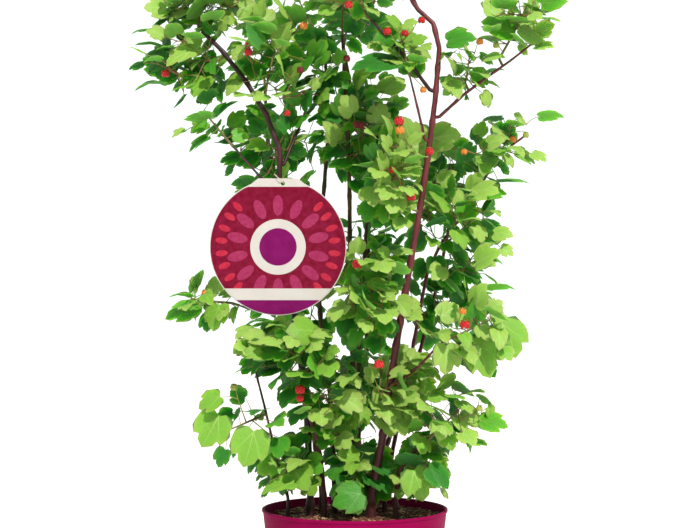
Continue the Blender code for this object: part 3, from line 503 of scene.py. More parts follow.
def addTag():
    # coated board: warm white with a very slight mottle
    board = printInk("coated board, warm white", "#C5C2BF", "#C0BCB7", 0.012)
    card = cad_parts["tag"]
    card.data.materials.clear()
    card.data.materials.append(board)
    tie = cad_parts["tag_tie"]
    string, tree, shader = newMaterial("twisted paper string, natural", "#C9BFA4", 0.8)
    addBump(tree, shader, noiseField(tree, 0.0008, 2.0), 0.4, 0.0002)
    tie.data.materials.clear()
    tie.data.materials.append(string)

    crimson = printInk("offset ink, crimson", "#6B0523", "#7A1234", 0.006)
    rose = printInk("offset ink, rose", "#8F2650", "#9A3258", 0.004)
    red = printInk("offset ink, bright red", "#A72039", "#B22E44", 0.004)
    cream = printInk("offset ink, cream", "#C5C2BF", "#C0BCB7", 0.02)
    plum = printInk("offset ink, plum", "#6E0552", "#760E5A", 0.01)
    layer = tag["layer"]
    flatPiece("tag_field", circleOutline(tag["field"], 96, cutTop=tag["radius"] - 0.0102), layer, crimson)
    for name, ink, ringRadius, count, length in (("tag_petals", rose, 0.050, tag["petals"], 0.0125),
                                                 ("tag_dots", red, 0.0685, 2 * tag["petals"], 0.0075)):
        petals = []
        for i in range(count):
            turn = 2 * math.pi * (i + 0.5) / count
            if ringRadius > 0.06 and math.sin(turn) * ringRadius > 0.052:
                continue
            outline = []
            for k in range(14):
                a = 2 * math.pi * k / 14
                u, v = length * math.cos(a), 0.5 * length * math.sin(a)
                x = (ringRadius + u) * math.cos(turn) - v * math.sin(turn)
                z = (ringRadius + u) * math.sin(turn) + v * math.cos(turn)
                outline.append((x, z))
            petals.append(flatPiece(f"{name}_{i}", outline, 2 * layer, ink))
        joinPieces(name, petals)
    flatPiece("tag_disc", circleOutline(0.0335), 2 * layer, cream)
    flatPiece("tag_eye", circleOutline(0.0225), 3 * layer, plum)
    lower = [(tag["field"] * math.cos(a), tag["field"] * math.sin(a)) for a in
             [math.radians(-142 + 104 * i / 40) for i in range(41)]]
    flatPiece("tag_band", lower, 3 * layer, cream)
    lowest = [(tag["field"] * math.cos(a), tag["field"] * math.sin(a)) for a in
              [math.radians(-128 + 76 * i / 40) for i in range(41)]]
    flatPiece("tag_foot", lowest, 4 * layer, plum)
    print("tag ready")


def joinPieces(name, objects):
    # several meshes of one kind as one piece
    work = bmesh.new()
    for obj in objects:
        work.from_mesh(obj.data)
    mesh = bpy.data.meshes.new(name)
    work.to_mesh(mesh)
    work.free()
    mesh.materials.append(objects[0].data.materials[0])
    for obj in list(objects):
        bpy.data.objects.remove(obj)
    joined = bpy.data.objects.new(name, mesh)
    bpy.context.scene.collection.objects.link(joined)
    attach(joined, "root")
    return joined


# Canes and boughs: foot and tip radius, then the route, all in millimetres, as in the solids

canes = {
    "cane_main": (5.0, 2.7, [(20, -22, 0), (33, -24, 284), (48, -30, 389), (67, -38, 501), (83, -44, 595),
                             (97, -50, 702), (102, -50, 764), (95, -47, 794), (76, -43, 812), (64, -39, 834)]),
    "cane_centre": (3.3, 2.2, [(-6, 2, 0), (-2, 6, 331), (-6, 12, 520), (-7, 16, 626), (-15, 16, 788)]),
    "cane_centre_right": (3.1, 1.7, [(9, 22, 0), (4, 36, 331), (15, 60, 546), (32, 68, 680)]),
    "cane_left_centre": (3.5, 2.0, [(-25, 18, 0), (-31, 24, 345), (-46, 32, 482), (-34, 40, 659), (-37, 46, 768)]),
    "cane_left": (3.3, 2.2, [(-38, -12, 0), (-42, -20, 262), (-51, -31, 305), (-68, -46, 352)]),
    "cane_upper_left": (4.4, 2.6, [(-55, -6, 0), (-60, -20, 335), (-70, -30, 410), (-82, -44, 507),
                                   (-92, -52, 592), (-91, -52, 640), (-108, -50, 684), (-131, -46, 722),
                                   (-162, -42, 762), (-186, -38, 786)]),
    "cane_thin_left": (2.0, 1.2, [(-82, -26, 0), (-90, -32, 242), (-109, -46, 326), (-121, -56, 376)]),
    "cane_right": (2.9, 1.9, [(50, -24, 0), (55, -34, 251), (67, -40, 269), (84, -50, 285)]),
    "cane_back_right": (3.0, 1.3, [(38, 40, 0), (64, 48, 343), (92, 48, 490), (108, 44, 526), (146, 33, 578),
                                   (157, 26, 618), (190, 16, 646), (212, 10, 662)]),
    "cane_back_left": (3.6, 2.0, [(-41, 52, 0), (-70, 104, 391), (-108, 132, 600), (-117, 134, 735)]),
    "cane_back_centre": (3.6, 2.0, [(-3, 58, 0), (16, 112, 390), (16, 140, 600), (-12, 142, 780)]),
    "cane_back_far": (3.2, 1.9, [(22, 60, 0), (86, 104, 391), (116, 118, 510), (124, 120, 552)]),
}
boughs = {  # the limb it leaves, the height it leaves at, then as above
    "bough_right": ("cane_main", 681, 2.1, 1.1, [(131, -52, 707), (162, -52, 730), (190, -51, 750), (218, -50, 772)]),
    "bough_top_left": ("cane_main", 712, 2.5, 1.4, [(64, -54, 748), (42, -58, 773), (19, -58, 797)]),
    "bough_inner": ("cane_main", 652, 1.8, 1.1, [(77, -57, 684), (70, -60, 712), (66, -60, 728)]),
    "bough_low_right": ("cane_main", 356, 2.0, 1.4, [(80, -58, 382), (98, -63, 402)]),
    "bough_fork": ("cane_upper_left", 622, 2.0, 1.3, [(-76, -34, 650), (-66, -16, 676)]),
    "bough_low_left": ("cane_upper_left", 570, 1.8, 1.1, [(-113, -50, 606), (-135, -50, 630), (-148, -48, 645)]),
    "bough_behind_tag": ("cane_upper_left", 462, 1.5, 1.0, [(-106, -43, 449), (-127, -45, 447), (-140, -46, 452)]),
}
limb = {"flare": 1.3, "flareHeight": 0.026, "step": 0.055, "ring": 0.0030, "sides": 12, "nodeEvery": 0.036,
        "nodeSwell": 0.24, "nodeLength": 0.0045}
oldCanes = ("cane_centre", "cane_centre_right", "cane_left_centre", "cane_back_left", "cane_back_centre")


def smoothRoute(points, step):
    ends = [2 * points[0] - points[1], *points, 2 * points[-1] - points[-2]]
    route = []
    for a, b, c, d in zip(ends, ends[1:], ends[2:], ends[3:]):
        pieces = max(1, round((c - b).length / step))
        for i in range(pieces):
            t = i / pieces
            route.append(0.5 * (2 * b + (c - a) * t + (2 * a - 5 * b + 4 * c - d) * t**2
                                + (3 * b - a - 3 * c + d) * t**3))
    return route + [points[-1]]


def runLengths(route):
    lengths = [0.0]
    for a, b in zip(route, route[1:]):
        lengths.append(lengths[-1] + (b - a).length)
    return lengths


def caneRoute(footRadius, tipRadius, points):
    foot = Vector((points[0][0], points[0][1], 0)) * mm + Vector((0, 0, pot["height"] - soil["belowRim"] + 0.0003))
    start = [foot + Vector((0, 0, 0.006)), foot + Vector((0, 0, limb["flareHeight"]))]
    route = [foot] + smoothRoute(start + [Vector(p) * mm for p in points[1:]], limb["step"])
    lengths = runLengths(route)
    radii = []
    for length in lengths:
        taper = footRadius + (tipRadius - footRadius) * length / lengths[-1]
        radii.append(taper * mm * (1 + (limb["flare"] - 1) * max(0.0, 1 - length / limb["flareHeight"]) ** 2))
    return route, radii


def atHeight(route, radii, height):
    if height is None:
        return route[-1], (route[-1] - route[-2]).normalized(), radii[-1]
    for a, b, ra, rb in zip(route, route[1:], radii, radii[1:]):
        if a.z <= height * mm <= b.z:
            share = (height * mm - a.z) / (b.z - a.z)
            return a.lerp(b, share), (b - a).normalized(), ra + (rb - ra) * share
    raise ValueError("the limb never reaches this height")


def sideStart(parent, height, toward):
    point, along, radius = atHeight(*parent, height)
    if height is None:
        return point, along
    out = toward - point
    out = (out - along * out.dot(along)).normalized()
    return point + out * 0.6 * radius, out


def allLimbs():
    limbs = {name: caneRoute(*sizes) for name, sizes in canes.items()}
    for name, (parent, height, foot, tip, points) in boughs.items():
        rest = [Vector(p) * mm for p in points]
        start, out = sideStart(limbs[parent], height, rest[0])
        route = [start] + smoothRoute([start + out * 0.005] + rest, 0.7 * limb["step"])
        lengths = runLengths(route)
        limbs[name] = route, [(foot + (tip - foot) * length / lengths[-1]) * mm for length in lengths]
    return limbs


def curveObject(name, runs):
    # runs of (points, radii) as one curve object of straight splines
    curve = bpy.data.curves.new(name, "CURVE")
    curve.dimensions = "3D"
    for route, radii in runs:
        spline = curve.splines.new("POLY")
        spline.points.add(len(route) - 1)
        for point, place, radius in zip(spline.points, route, radii):
            point.co = (*place, 1)
            point.radius = radius
    obj = bpy.data.objects.new(name, curve)
    bpy.context.scene.collection.objects.link(obj)
    return obj


def knottedRun(route, radii, rng):
    # the same limb in short steps, swollen a little where leaves once stood
    lengths = runLengths(route)
    count = max(2, round(lengths[-1] / limb["ring"]))
    knots = []
    at = rng.uniform(0.3, 1.0) * limb["nodeEvery"]
    while at < lengths[-1] - 0.01:
        knots.append(at)
        at += limb["nodeEvery"] * rng.uniform(0.7, 1.3)
    places, widths, piece = [], [], 0
    for i in range(count + 1):
        at = lengths[-1] * i / count
        while piece < len(lengths) - 2 and lengths[piece + 1] < at:
            piece += 1
        share = (at - lengths[piece]) / (lengths[piece + 1] - lengths[piece])
        swell = sum(math.exp(-((at - knot) / limb["nodeLength"]) ** 2) for knot in knots)
        places.append(route[piece].lerp(route[piece + 1], share))
        widths.append((radii[piece] + (radii[piece + 1] - radii[piece]) * share) * (1 + limb["nodeSwell"] * swell))
    return places, widths


def barkMaterial(name, stops, roughness, streak):
    material, tree, shader = newMaterial(name, stops[0][1], roughness, 1.45)
    skin = colourRamp(tree, noiseField(tree, streak, 5.0, (1, 1, 0.22)), stops)
    # painted shade: the bark is darkened toward the foot of each cane, where the foliage shades it
    place = addNode(tree, "ShaderNodeTexCoord").outputs["Object"]
    height = addNode(tree, "ShaderNodeSeparateXYZ", links={"Vector": place}).outputs["Z"]
    footShade = addNode(tree, "ShaderNodeMapRange", {"From Min": 0.20, "From Max": 0.37, "To Min": 0.42, "To Max": 1.0},
                   {"Value": height}).outputs["Result"]
    shaded = addNode(tree, "ShaderNodeVectorMath", links={"Vector": skin, "Scale": footShade}, operation="SCALE")
    tree.links.new(shaded.outputs["Vector"], shader.inputs["Base Color"])
    addBump(tree, shader, noiseField(tree, 0.0016, 4.0, (1, 1, 0.3)), 0.45, 0.0006)
    return material


def addLimbs(limbs, tube):
    rng = random.Random(11)
    # young cane bark: waxy maroon skin, paler where it is rubbed, with long streaks
    young = barkMaterial("cane bark, first year, waxy", [(0.2, "#33090F"), (0.5, "#64242B"), (0.8, "#873C43")], 0.5, 0.012)
    # painted shade: a darker copy of the young bark, near black with a wine-red cast, for the left canes that stand in
    # shade
    dark = barkMaterial("cane bark, first year, dark", [(0.2, "#16060A"), (0.5, "#2E0D13"), (0.8, "#5A232A")], 0.5, 0.012)
    # older bark: dull olive brown that splits into fine lengthwise strips
    old = barkMaterial("cane bark, second year, dry", [(0.2, "#241C11"), (0.5, "#4A3A20"), (0.8, "#74603A")], 0.8, 0.008)
    shadedCanes = [n for n in limbs if "left" in n and n not in (*oldCanes, "cane_left")] + ["bough_fork", "bough_behind_tag"]
    for name, material, slotName, chosen in (
            ("canes_young", young, "cane_bark", [n for n in limbs if n not in (*oldCanes, *shadedCanes)]),
            ("canes_dark", dark, "cane_bark", shadedCanes),
            ("canes_old", old, "old_cane_bark", list(oldCanes))):
        runs = [knottedRun(*limbs[n], rng) for n in chosen]
        piece = runTree(curveObject(name, runs), tube, {"Sides": limb["sides"], "Ring Step": limb["ring"],
                                                        "Relief": 0.0007, "Grain": 0.004, "Material": material}, name)
        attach(piece, "root")
        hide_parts(*chosen)
    print("limbs ready")


# Masses of foliage: limb, height on it (None at its tip), centre and half sizes in millimetres, leaves, tone

# the tone is partly the leaves' own colour and partly painted light and shade: masses in shade are given deeper tones,
# masses in the light paler ones
masses = {
    "mass_left_upper": ("cane_upper_left", 756, (-208, -20, 752), (64, 56, 56), 11, 0.50),
    "mass_left_top": ("cane_upper_left", None, (-184, -14, 834), (72, 62, 64), 21, 0.94),
    "mass_upper_left": ("cane_upper_left", 700, (-102, -36, 752), (62, 58, 70), 14, 0.58),
    "mass_low_left_bough": ("bough_low_left", None, (-174, -40, 676), (50, 46, 38), 3, 0.38),
    "mass_over_tag": ("cane_upper_left", 628, (-100, 8, 650), (66, 54, 62), 11, 0.33),
    "mass_fork": ("bough_fork", None, (-50, 4, 734), (46, 46, 54), 9, 0.62),
    "mass_top_front": ("bough_top_left", None, (-8, -56, 856), (56, 48, 58), 12, 0.90),
    "mass_top": ("cane_centre", None, (-14, 24, 852), (58, 50, 64), 4, 1.15),
    "mass_centre_upper": ("cane_centre", 648, (12, 14, 672), (64, 58, 78), 16, 0.56),
    "mass_inner_top": ("bough_inner", None, (58, -62, 764), (40, 38, 38), 6, 0.38),
    "mass_main_top": ("cane_main", None, (48, -34, 892), (56, 58, 62), 14, 0.60),
    "mass_right_bough": ("bough_right", 712, (138, -50, 736), (40, 40, 50), 5, 0.80),
    "mass_right_top": ("bough_right", 742, (202, -50, 800), (54, 50, 42), 6, 1.45),
    "mass_right_upper": ("cane_back_right", 608, (182, 8, 646), (56, 50, 50), 6, 0.76),
    "mass_right_middle": ("cane_back_right", 524, (130, -2, 544), (62, 66, 78), 17, 0.58),
    "mass_centre_right": ("cane_main", 566, (52, -74, 606), (46, 46, 72), 14, 0.74),
    "mass_centre": ("cane_main", 452, (22, -60, 470), (58, 60, 68), 21, 0.66),
    "mass_low_right": ("bough_low_right", None, (140, -66, 424), (58, 54, 56), 7, 0.58),
    "mass_under_tag": ("cane_left", None, (-84, -66, 390), (60, 52, 52), 14, 0.48),
    "mass_left_of_tag": ("bough_behind_tag", None, (-184, -50, 458), (48, 38, 34), 5, 0.70),
    "mass_left_low": ("cane_thin_left", 320, (-134, -60, 310), (60, 50, 54), 3, 0.12),
    "mass_centre_low": ("cane_left_centre", 322, (-34, -32, 338), (56, 56, 66), 15, 0.62),
    "mass_right_low": ("cane_right", None, (114, -58, 316), (60, 50, 44), 8, 0.66),
    "mass_low_centre": ("cane_main", 336, (60, -22, 344), (46, 54, 58), 17, 1.32),
    "mass_foot_left": ("cane_upper_left", 244, (-78, -22, 248), (42, 46, 42), 7, 0.44),
    "mass_foot_centre": ("cane_main", 244, (4, -16, 246), (44, 56, 44), 14, 0.38),
    "mass_foot_right": ("cane_right", 236, (84, -20, 250), (40, 50, 48), 9, 0.70),
    "mass_back_top_left": ("cane_left_centre", None, (-62, 78, 822), (56, 52, 60), 2, 0.45),
    "mass_back_left_upper": ("cane_back_left", None, (-124, 122, 800), (62, 60, 62), 5, 0.50),
    "mass_back_left_middle": ("cane_back_left", 600, (-112, 122, 616), (60, 60, 66), 3, 0.45),
    "mass_back_left_low": ("cane_back_left", 420, (-86, 104, 430), (56, 56, 64), 11, 0.40),
    "mass_back_top": ("cane_back_centre", None, (-4, 122, 846), (60, 60, 64), 13, 0.45),
    "mass_back_upper": ("cane_back_centre", 650, (8, 124, 670), (60, 56, 62), 11, 0.40),
    "mass_back_middle": ("cane_back_centre", 500, (16, 118, 508), (60, 56, 66), 13, 0.40),
    "mass_back_low": ("cane_back_centre", 340, (24, 88, 346), (66, 54, 60), 14, 0.40),
    "mass_back_right_upper": ("cane_back_far", None, (124, 106, 606), (58, 56, 62), 12, 0.45),
    "mass_back_right_low": ("cane_back_far", 440, (118, 104, 452), (58, 56, 64), 12, 0.40),
}

# Leaves that make the outline or stand alone in front: place in millimetres, length, heading of the tip
# seen from the front in degrees, how far the blade is turned to face the front (0 to 1), and its tone
outlineLeaves = [
    ((-172, -74, 304), 44, -118, 0.8, 0.66), ((-126, -80, 284), 46, -104, 0.9, 0.66), ((184, -74, 414), 46, -66, 0.7, 0.66),
    ((150, -86, 392), 50, -62, 0.9, 0.70), ((-246, -26, 770), 44, 168, 0.1, 0.60), ((-248, -24, 724), 40, 176, 0.1, 0.60),
    ((-258, -30, 788), 30, 184, 0.05, 0.55), ((243, 6, 688), 32, 8, 0.4, 0.55), ((166, -66, 312), 34, -8, 0.5, 0.60),
    ((196, 4, 606), 40, 2, 0.15, 0.60), ((-208, -52, 446), 44, 200, 0.4, 0.60), ((176, -56, 790), 44, 160, 0.6, 0.50),
    ((240, -52, 826), 40, 30, 0.6, 0.50), ((258, -50, 782), 28, 6, 0.2, 0.45),
    ((-92, -60, 236), 42, 186, 0.35, 0.84), ((76, -62, 238), 40, -70, 0.7, 0.75), ((176, -40, 476), 36, 6, 0.2, 0.55),
    # painted light: the two leaves at 646 and 660 mm high, behind the main cane, get the palest tone for light shining
    # through them
    ((74, -18, 646), 54, 200, 0.85, 1.00), ((110, -18, 660), 48, 10, 0.85, 1.00), ((108, -86, 390), 36, -90, 0.8, 1.00), ((-8, -86, 223), 38, -158, 0.8, 0.42),
    # painted shade: the large leaf at 742 mm high gets the deepest tone for the shade it hangs in
    ((26, -86, 742), 58, 184, 0.36, 0.10), ((128, -42, 776), 36, 10, 0.6, 0.45), ((100, -84, 250), 34, -40, 0.5, 0.10),
]

# Berries: place in millimetres, diameter, colour
berries = [
    # painted shade: the deeper red berries are ripe berries darkened for the shade they hang in
    ((-8, -78, 812), 10, "ripe"), ((38, -80, 780), 10, "ripe"), ((-10, -32, 753), 9, "dark"),
    ((-128, -74, 756), 10, "ripe"), ((-230, -48, 733), 10, "ripe"), ((-66, -60, 736), 9, "dark"),
    ((2, -38, 672), 10, "dark"), ((9, -38, 671), 10, "dark"), ((52, -90, 672), 12, "ripe"), ((53, -90, 661), 11, "turning"),
    ((88, -92, 636), 10, "ripe"), ((44, -92, 614), 9, "ripe"), ((66, -96, 582), 11, "ripe"),
    ((2, -84, 502), 12, "ripe"), ((130, -90, 430), 12, "ripe"), ((28, -88, 383), 12, "ripe"),
    ((-66, -80, 352), 12, "ripe"), ((-66, -82, 342), 9, "ripe"), ((-82, -60, 684), 8, "ripe"),
    ((-181, -60, 467), 9, "turning"), ((148, -84, 330), 8, "green"), ((196, 0, 657), 9, "turning"),
    ((212, 0, 662), 8, "green"), ((134, -20, 640), 8, "turning"), ((150, -62, 770), 9, "turning"),
    ((170, -60, 766), 8, "green"), ((-146, -66, 354), 9, "green"), ((80, -60, 796), 9, "ripe"),
    ((60, -62, 780), 9, "ripe"), ((-62, -56, 790), 10, "turning"), ((128, -84, 446), 9, "turning"),
    ((82, -60, 712), 8, "turning"), ((-110, 146, 640), 10, "ripe"), ((20, 148, 700), 10, "ripe"),
    ((134, 134, 470), 10, "ripe"), ((-76, 134, 440), 10, "ripe"), ((-40, 146, 560), 9, "turning"),
    ((56, 132, 400), 9, "ripe"), ((-140, 138, 790), 9, "ripe"), ((24, 146, 850), 10, "ripe"),
    ((146, 130, 640), 9, "turning"), ((-56, 120, 330), 9, "green"), ((236, -20, 800), 9, "green"),
]

growth = {"leafShare": 4.4, "leafLength": (0.018, 0.037), "stalkReach": 0.028, "shortestStalk": 0.006,
          "twigStep": 0.026, "stemBare": 0.22, "budStep": 0.004, "twigRadius": 0.0009, "stemRadius": 0.0017, "stalkRadius": 0.00045,
          "clear": 0.0012, "spacing": 0.0095, "shell": (0.12, 1.04), "reach": 1.18, "outlineReach": 1.9,
          "cellMargin": 0.82, "tries": 4, "boxMargin": 0.006,
          "droop": (0.38, 0.10), "upright": 0.60,
          "showCane": {"cane_main": (0.37, 0.79), "cane_back_right": (0.505, 0.60)}}


class Space:
    # the spaces of all masses, and what leaves and twigs keep clear of

    def __init__(self, limbs):
        self.names = list(masses)
        self.centres = np.array([masses[n][2] for n in self.names]) * mm
        self.halves = np.array([masses[n][3] for n in self.names]) * mm
        tubes = [(tuple(a), tuple(b), max(ra, rb)) for route, radii in limbs.values()
                 for a, b, ra, rb in zip(route, route[1:], radii, radii[1:])]
        self.starts = np.array([t[0] for t in tubes])
        self.along = np.array([t[1] for t in tubes]) - self.starts
        self.widths = np.array([t[2] for t in tubes])
        self.squares = (self.along**2).sum(axis=1)
        self.low = np.array(cadBox[0]) - growth["boxMargin"]
        self.high = np.array(cadBox[1]) + growth["boxMargin"]

    def shares(self, samples):
        return np.linalg.norm((samples[:, None, :] - self.centres[None]) / self.halves[None], axis=2)

    def own(self, index, samples, reach):
        shares = self.shares(samples)
        mine = shares[:, index].copy()
        shares[:, index] = np.inf
        return bool((mine <= reach).all() and (mine * growth["cellMargin"] < shares.min(axis=1)).all())

    def clear(self, samples):
        offset = samples[:, None, :] - self.starts[None]
        share = np.clip((offset * self.along).sum(axis=2) / self.squares, 0, 1)
        distance = np.linalg.norm(offset - share[..., None] * self.along, axis=2)
        if not (distance > self.widths + growth["clear"]).all():
            return False
        if not ((samples > self.low) & (samples < self.high)).all():
            return False
        radius = np.hypot(samples[:, 0], samples[:, 1])
        inWall = (samples[:, 2] < pot["height"] + 0.002) & (radius > pot["rimRadius"] - 0.006)
        inSoil = samples[:, 2] < pot["height"] - soil["belowRim"] + 0.004
        fromTag = np.hypot(samples[:, 0] - tag["centre"].x, samples[:, 2] - tag["centre"].z)
        beforeTag = (samples[:, 1] < tag["centre"].y + 0.003) & (fromTag < tag["radius"] + 0.003)
        return not (inWall | inSoil | beforeTag).any()


def stemOf(name, limbs):
    parent, height, centre, half = masses[name][:4]
    middle = Vector(centre) * mm
    start, out = sideStart(limbs[parent], height, middle)
    away = start + out * 0.008
    far = middle + (middle - start).normalized() * 0.45 * min(half) * mm
    route = [start] + smoothRoute([away, middle.lerp(away, 0.5), far], growth["twigStep"])
    lengths = runLengths(route)
    thin = growth["twigRadius"]
    radii = [growth["stemRadius"] + (thin - growth["stemRadius"]) * length / lengths[-1] for length in lengths]
    return route, radii


def budsOn(route, bare):
    buds, lengths, at = [], runLengths(route), bare
    while at < lengths[-1]:
        piece = max(i for i in range(len(route) - 1) if lengths[i] <= at)
        share = (at - lengths[piece]) / (lengths[piece + 1] - lengths[piece])
        buds.append(route[piece].lerp(route[piece + 1], share))
        at += growth["budStep"]
    return buds


def spreadPlaces(name, space, count, rng, taken):
    index = space.names.index(name)
    centre, half = masses[name][2:4]
    places = []
    for _ in range(count):
        best, bestDistance = None, growth["spacing"]
        for _ in range(14):
            direction = Vector([rng.gauss(0, 1) for _ in range(3)]).normalized()
            shell = rng.uniform(*growth["shell"])
            place = Vector([c * mm + h * mm * d * shell for c, h, d in zip(centre, half, direction)])
            if not space.own(index, np.array([tuple(place)]), 1.0):
                continue
            distance = min(((place - other).length for other in places + taken), default=1.0)
            if distance > bestDistance:
                best, bestDistance = place, distance
        if best is not None:
            places.append(best)
    return places


def leafFrame(place, reach, rng, heading=None, face=None):
    # the midrib's direction and the blade's normal: turned up and out to the light, the tip hanging
    if heading is not None:
        turn = math.radians(heading)
        midrib = Vector((math.cos(turn), -0.25 * face, math.sin(turn))).normalized()
        normal = Vector((0.1, -face, 1.15 - face))
    else:
        out = Vector((place.x, place.y - 0.02, 0)).normalized()
        jitter = Vector([rng.uniform(-1, 1) for _ in range(3)])
        normal = Vector((-0.04, -0.38, 0.80)) + 0.55 * out + 0.60 * jitter
        sway = Vector([rng.uniform(-1, 1) for _ in range(3)])
        droop = growth["droop"][place.z > growth["upright"]]
        midrib = 0.8 * reach + 0.45 * out + Vector((0, 0, -droop)) + 0.45 * sway
    normal = normal - midrib * normal.dot(midrib) / midrib.length_squared
    return midrib.normalized(), normal.normalized()


def leafSamples(neck, midrib, normal, length):
    across = midrib.cross(normal)
    spots = [(0, 0.5), (0, 1), (0.45, 0.4), (-0.45, 0.4), (0.25, 0.75), (-0.25, 0.75), (0.3, 0.05), (-0.3, 0.05)]
    return np.array([tuple(neck + (across * u + midrib * v) * length) for u, v in spots])


sunward = Euler(view["keyTurn"]).to_matrix() @ Vector((0, 0, 1))


def hidesCane(samples, limbs, rng):
    # whether a blade would stand in front of a cane where it shows
    low, high, middle = samples.min(axis=0), samples.max(axis=0), samples.mean(axis=0)
    for name, (bottom, top) in growth["showCane"].items():
        nearest = min(limbs[name][0], key=lambda point: abs(point.z - middle[2]))
        across = low[0] - 0.004 < nearest.x < high[0] + 0.004
        if bottom < middle[2] < top and across and middle[1] < nearest.y and rng.random() < 0.9:
            return True
    return False


def growMass(name, space, limbs, found):
    # places nearest the limb first, each served from the nearest bud or by a new twig from there
    rng = random.Random(name)
    index = space.names.index(name)
    route, radii = stemOf(name, limbs)
    found["stems"].append((route, radii))
    bare = growth["stemBare"] * runLengths(route)[-1]
    buds = budsOn(route, bare) + [route[-1]]
    centre, half = (Vector(masses[name][i]) * mm for i in (2, 3))
    massTone = masses[name][5]
    wanted = [("leaf", Vector(p) * mm, length * mm, heading, face, tone)
              for p, length, heading, face, tone in outlineLeaves]
    wanted += [("berry", Vector(p) * mm, size * mm, None, None, colour) for p, size, colour in berries]
    wanted = [w for w in wanted if space.shares(np.array([tuple(w[1])])).argmin() == index]
    count = round(masses[name][4] * growth["leafShare"])
    for place in spreadPlaces(name, space, count, rng, [w[1] for w in wanted]):
        wanted.append(("leaf", place, rng.uniform(*growth["leafLength"]), None, None, None))
    wanted.sort(key=lambda w: (w[1] - route[0]).length)
    toneOf = {}
    for kind, place, length, heading, face, tone in wanted:
        for attempt in range(growth["tries"]):
            if not buds:
                buds = budsOn(route, bare + 0.5 * growth["budStep"]) + [route[-1]]
            bud = min(buds, key=lambda b: (b - place).length)
            reach = (place - bud).normalized()
            if kind == "berry":
                foot = place + Vector((0, 0, 0.5 * length))
            else:
                size = length * (1 - 0.08 * attempt)
                spot = place
                if heading is None:
                    spot = bud + reach * max((place - bud).length, 0.45 * size + growth["shortestStalk"])
                midrib, normal = leafFrame(spot, reach, rng, heading, face)
                foot = spot - midrib * 0.45 * size
                samples = leafSamples(foot, midrib, normal, size)
                limit = growth["reach"] if heading is None else growth["outlineReach"]
                if not (space.own(index, samples, limit) and space.clear(samples)):
                    continue
                if heading is None and hidesCane(samples, limbs, rng):
                    continue
            gap = foot - bud
            twig = [bud]
            if gap.length > growth["stalkReach"]:
                end = foot - gap.normalized() * 0.6 * growth["stalkReach"] + Vector((0, 0, -0.003))
                steps = max(1, round((end - bud).length / growth["twigStep"]))
                twig = [bud.lerp(end, i / steps) for i in range(steps + 1)]
                for i in range(1, steps):
                    twig[i] += Vector([rng.uniform(-1, 1) for _ in range(3)]) * 0.0022
                thick = growth["twigRadius"]
                found["twigs"].append((twig, [thick * (1 - 0.4 * i / steps) for i in range(steps + 1)]))
            stalk = [twig[-1], twig[-1].lerp(foot, 0.5) + Vector((0, 0, 0.0015)), foot]
            found["stalks"].append((stalk, [1.3 * growth["stalkRadius"], growth["stalkRadius"], growth["stalkRadius"]]))
            if kind == "berry":
                found["berries"].append((foot, length, tone, rng.uniform(0, 6.3)))
            else:
                key = tuple(round(c, 4) for c in twig[0]) if len(twig) > 1 else None
                spray = toneOf.setdefault(key, rng.gauss(massTone, 0.12))
                # painted light and shade: leaves high and to the front of their mass are dealt paler tones, those low
                # and at the back deeper ones
                lit = [(foot - centre)[i] / half[i] for i in range(3)]
                shade = spray + 0.10 * lit[2] - 0.08 * lit[1] + rng.gauss(0, 0.16)
                found["leaves"].append((foot, midrib, normal, size, shade, tone))
            buds.remove(bud)
            if len(twig) > 1:
                buds += budsOn(twig, 0.6 * growth["budStep"]) + [twig[-1]]
            break


# Leaf shapes: half outline as (across, along), midrib 1 long; the last point is the tip

leafHalf = [(0.18, -0.08), (0.38, -0.02), (0.48, 0.14), (0.50, 0.28), (0.545, 0.42), (0.50, 0.57), (0.43, 0.77),
            (0.32, 0.71), (0.245, 0.68), (0.215, 0.86)]
lobeTip, notch = 6, 8
leafKinds = [  # fold up along the midrib, droop of the tip, droop of the sides, width, depth of the lobes, seed
    {"fold": 0.16, "tip": 0.12, "side": 0.10, "width": 1.02, "lobes": 0.7, "seed": 1},
    {"fold": 0.06, "tip": 0.22, "side": 0.18, "width": 1.06, "lobes": 0.4, "seed": 2},
    {"fold": 0.28, "tip": 0.10, "side": 0.04, "width": 0.96, "lobes": 0.9, "seed": 3},
    {"fold": 0.10, "tip": 0.06, "side": 0.26, "width": 1.00, "lobes": 0.6, "seed": 4},
    {"fold": 0.22, "tip": 0.30, "side": 0.14, "width": 0.88, "lobes": 0.2, "seed": 5},
    {"fold": 0.04, "tip": 0.12, "side": 0.08, "width": 1.08, "lobes": 0.8, "seed": 6},
]
leafThickness = 0.012  # over its length


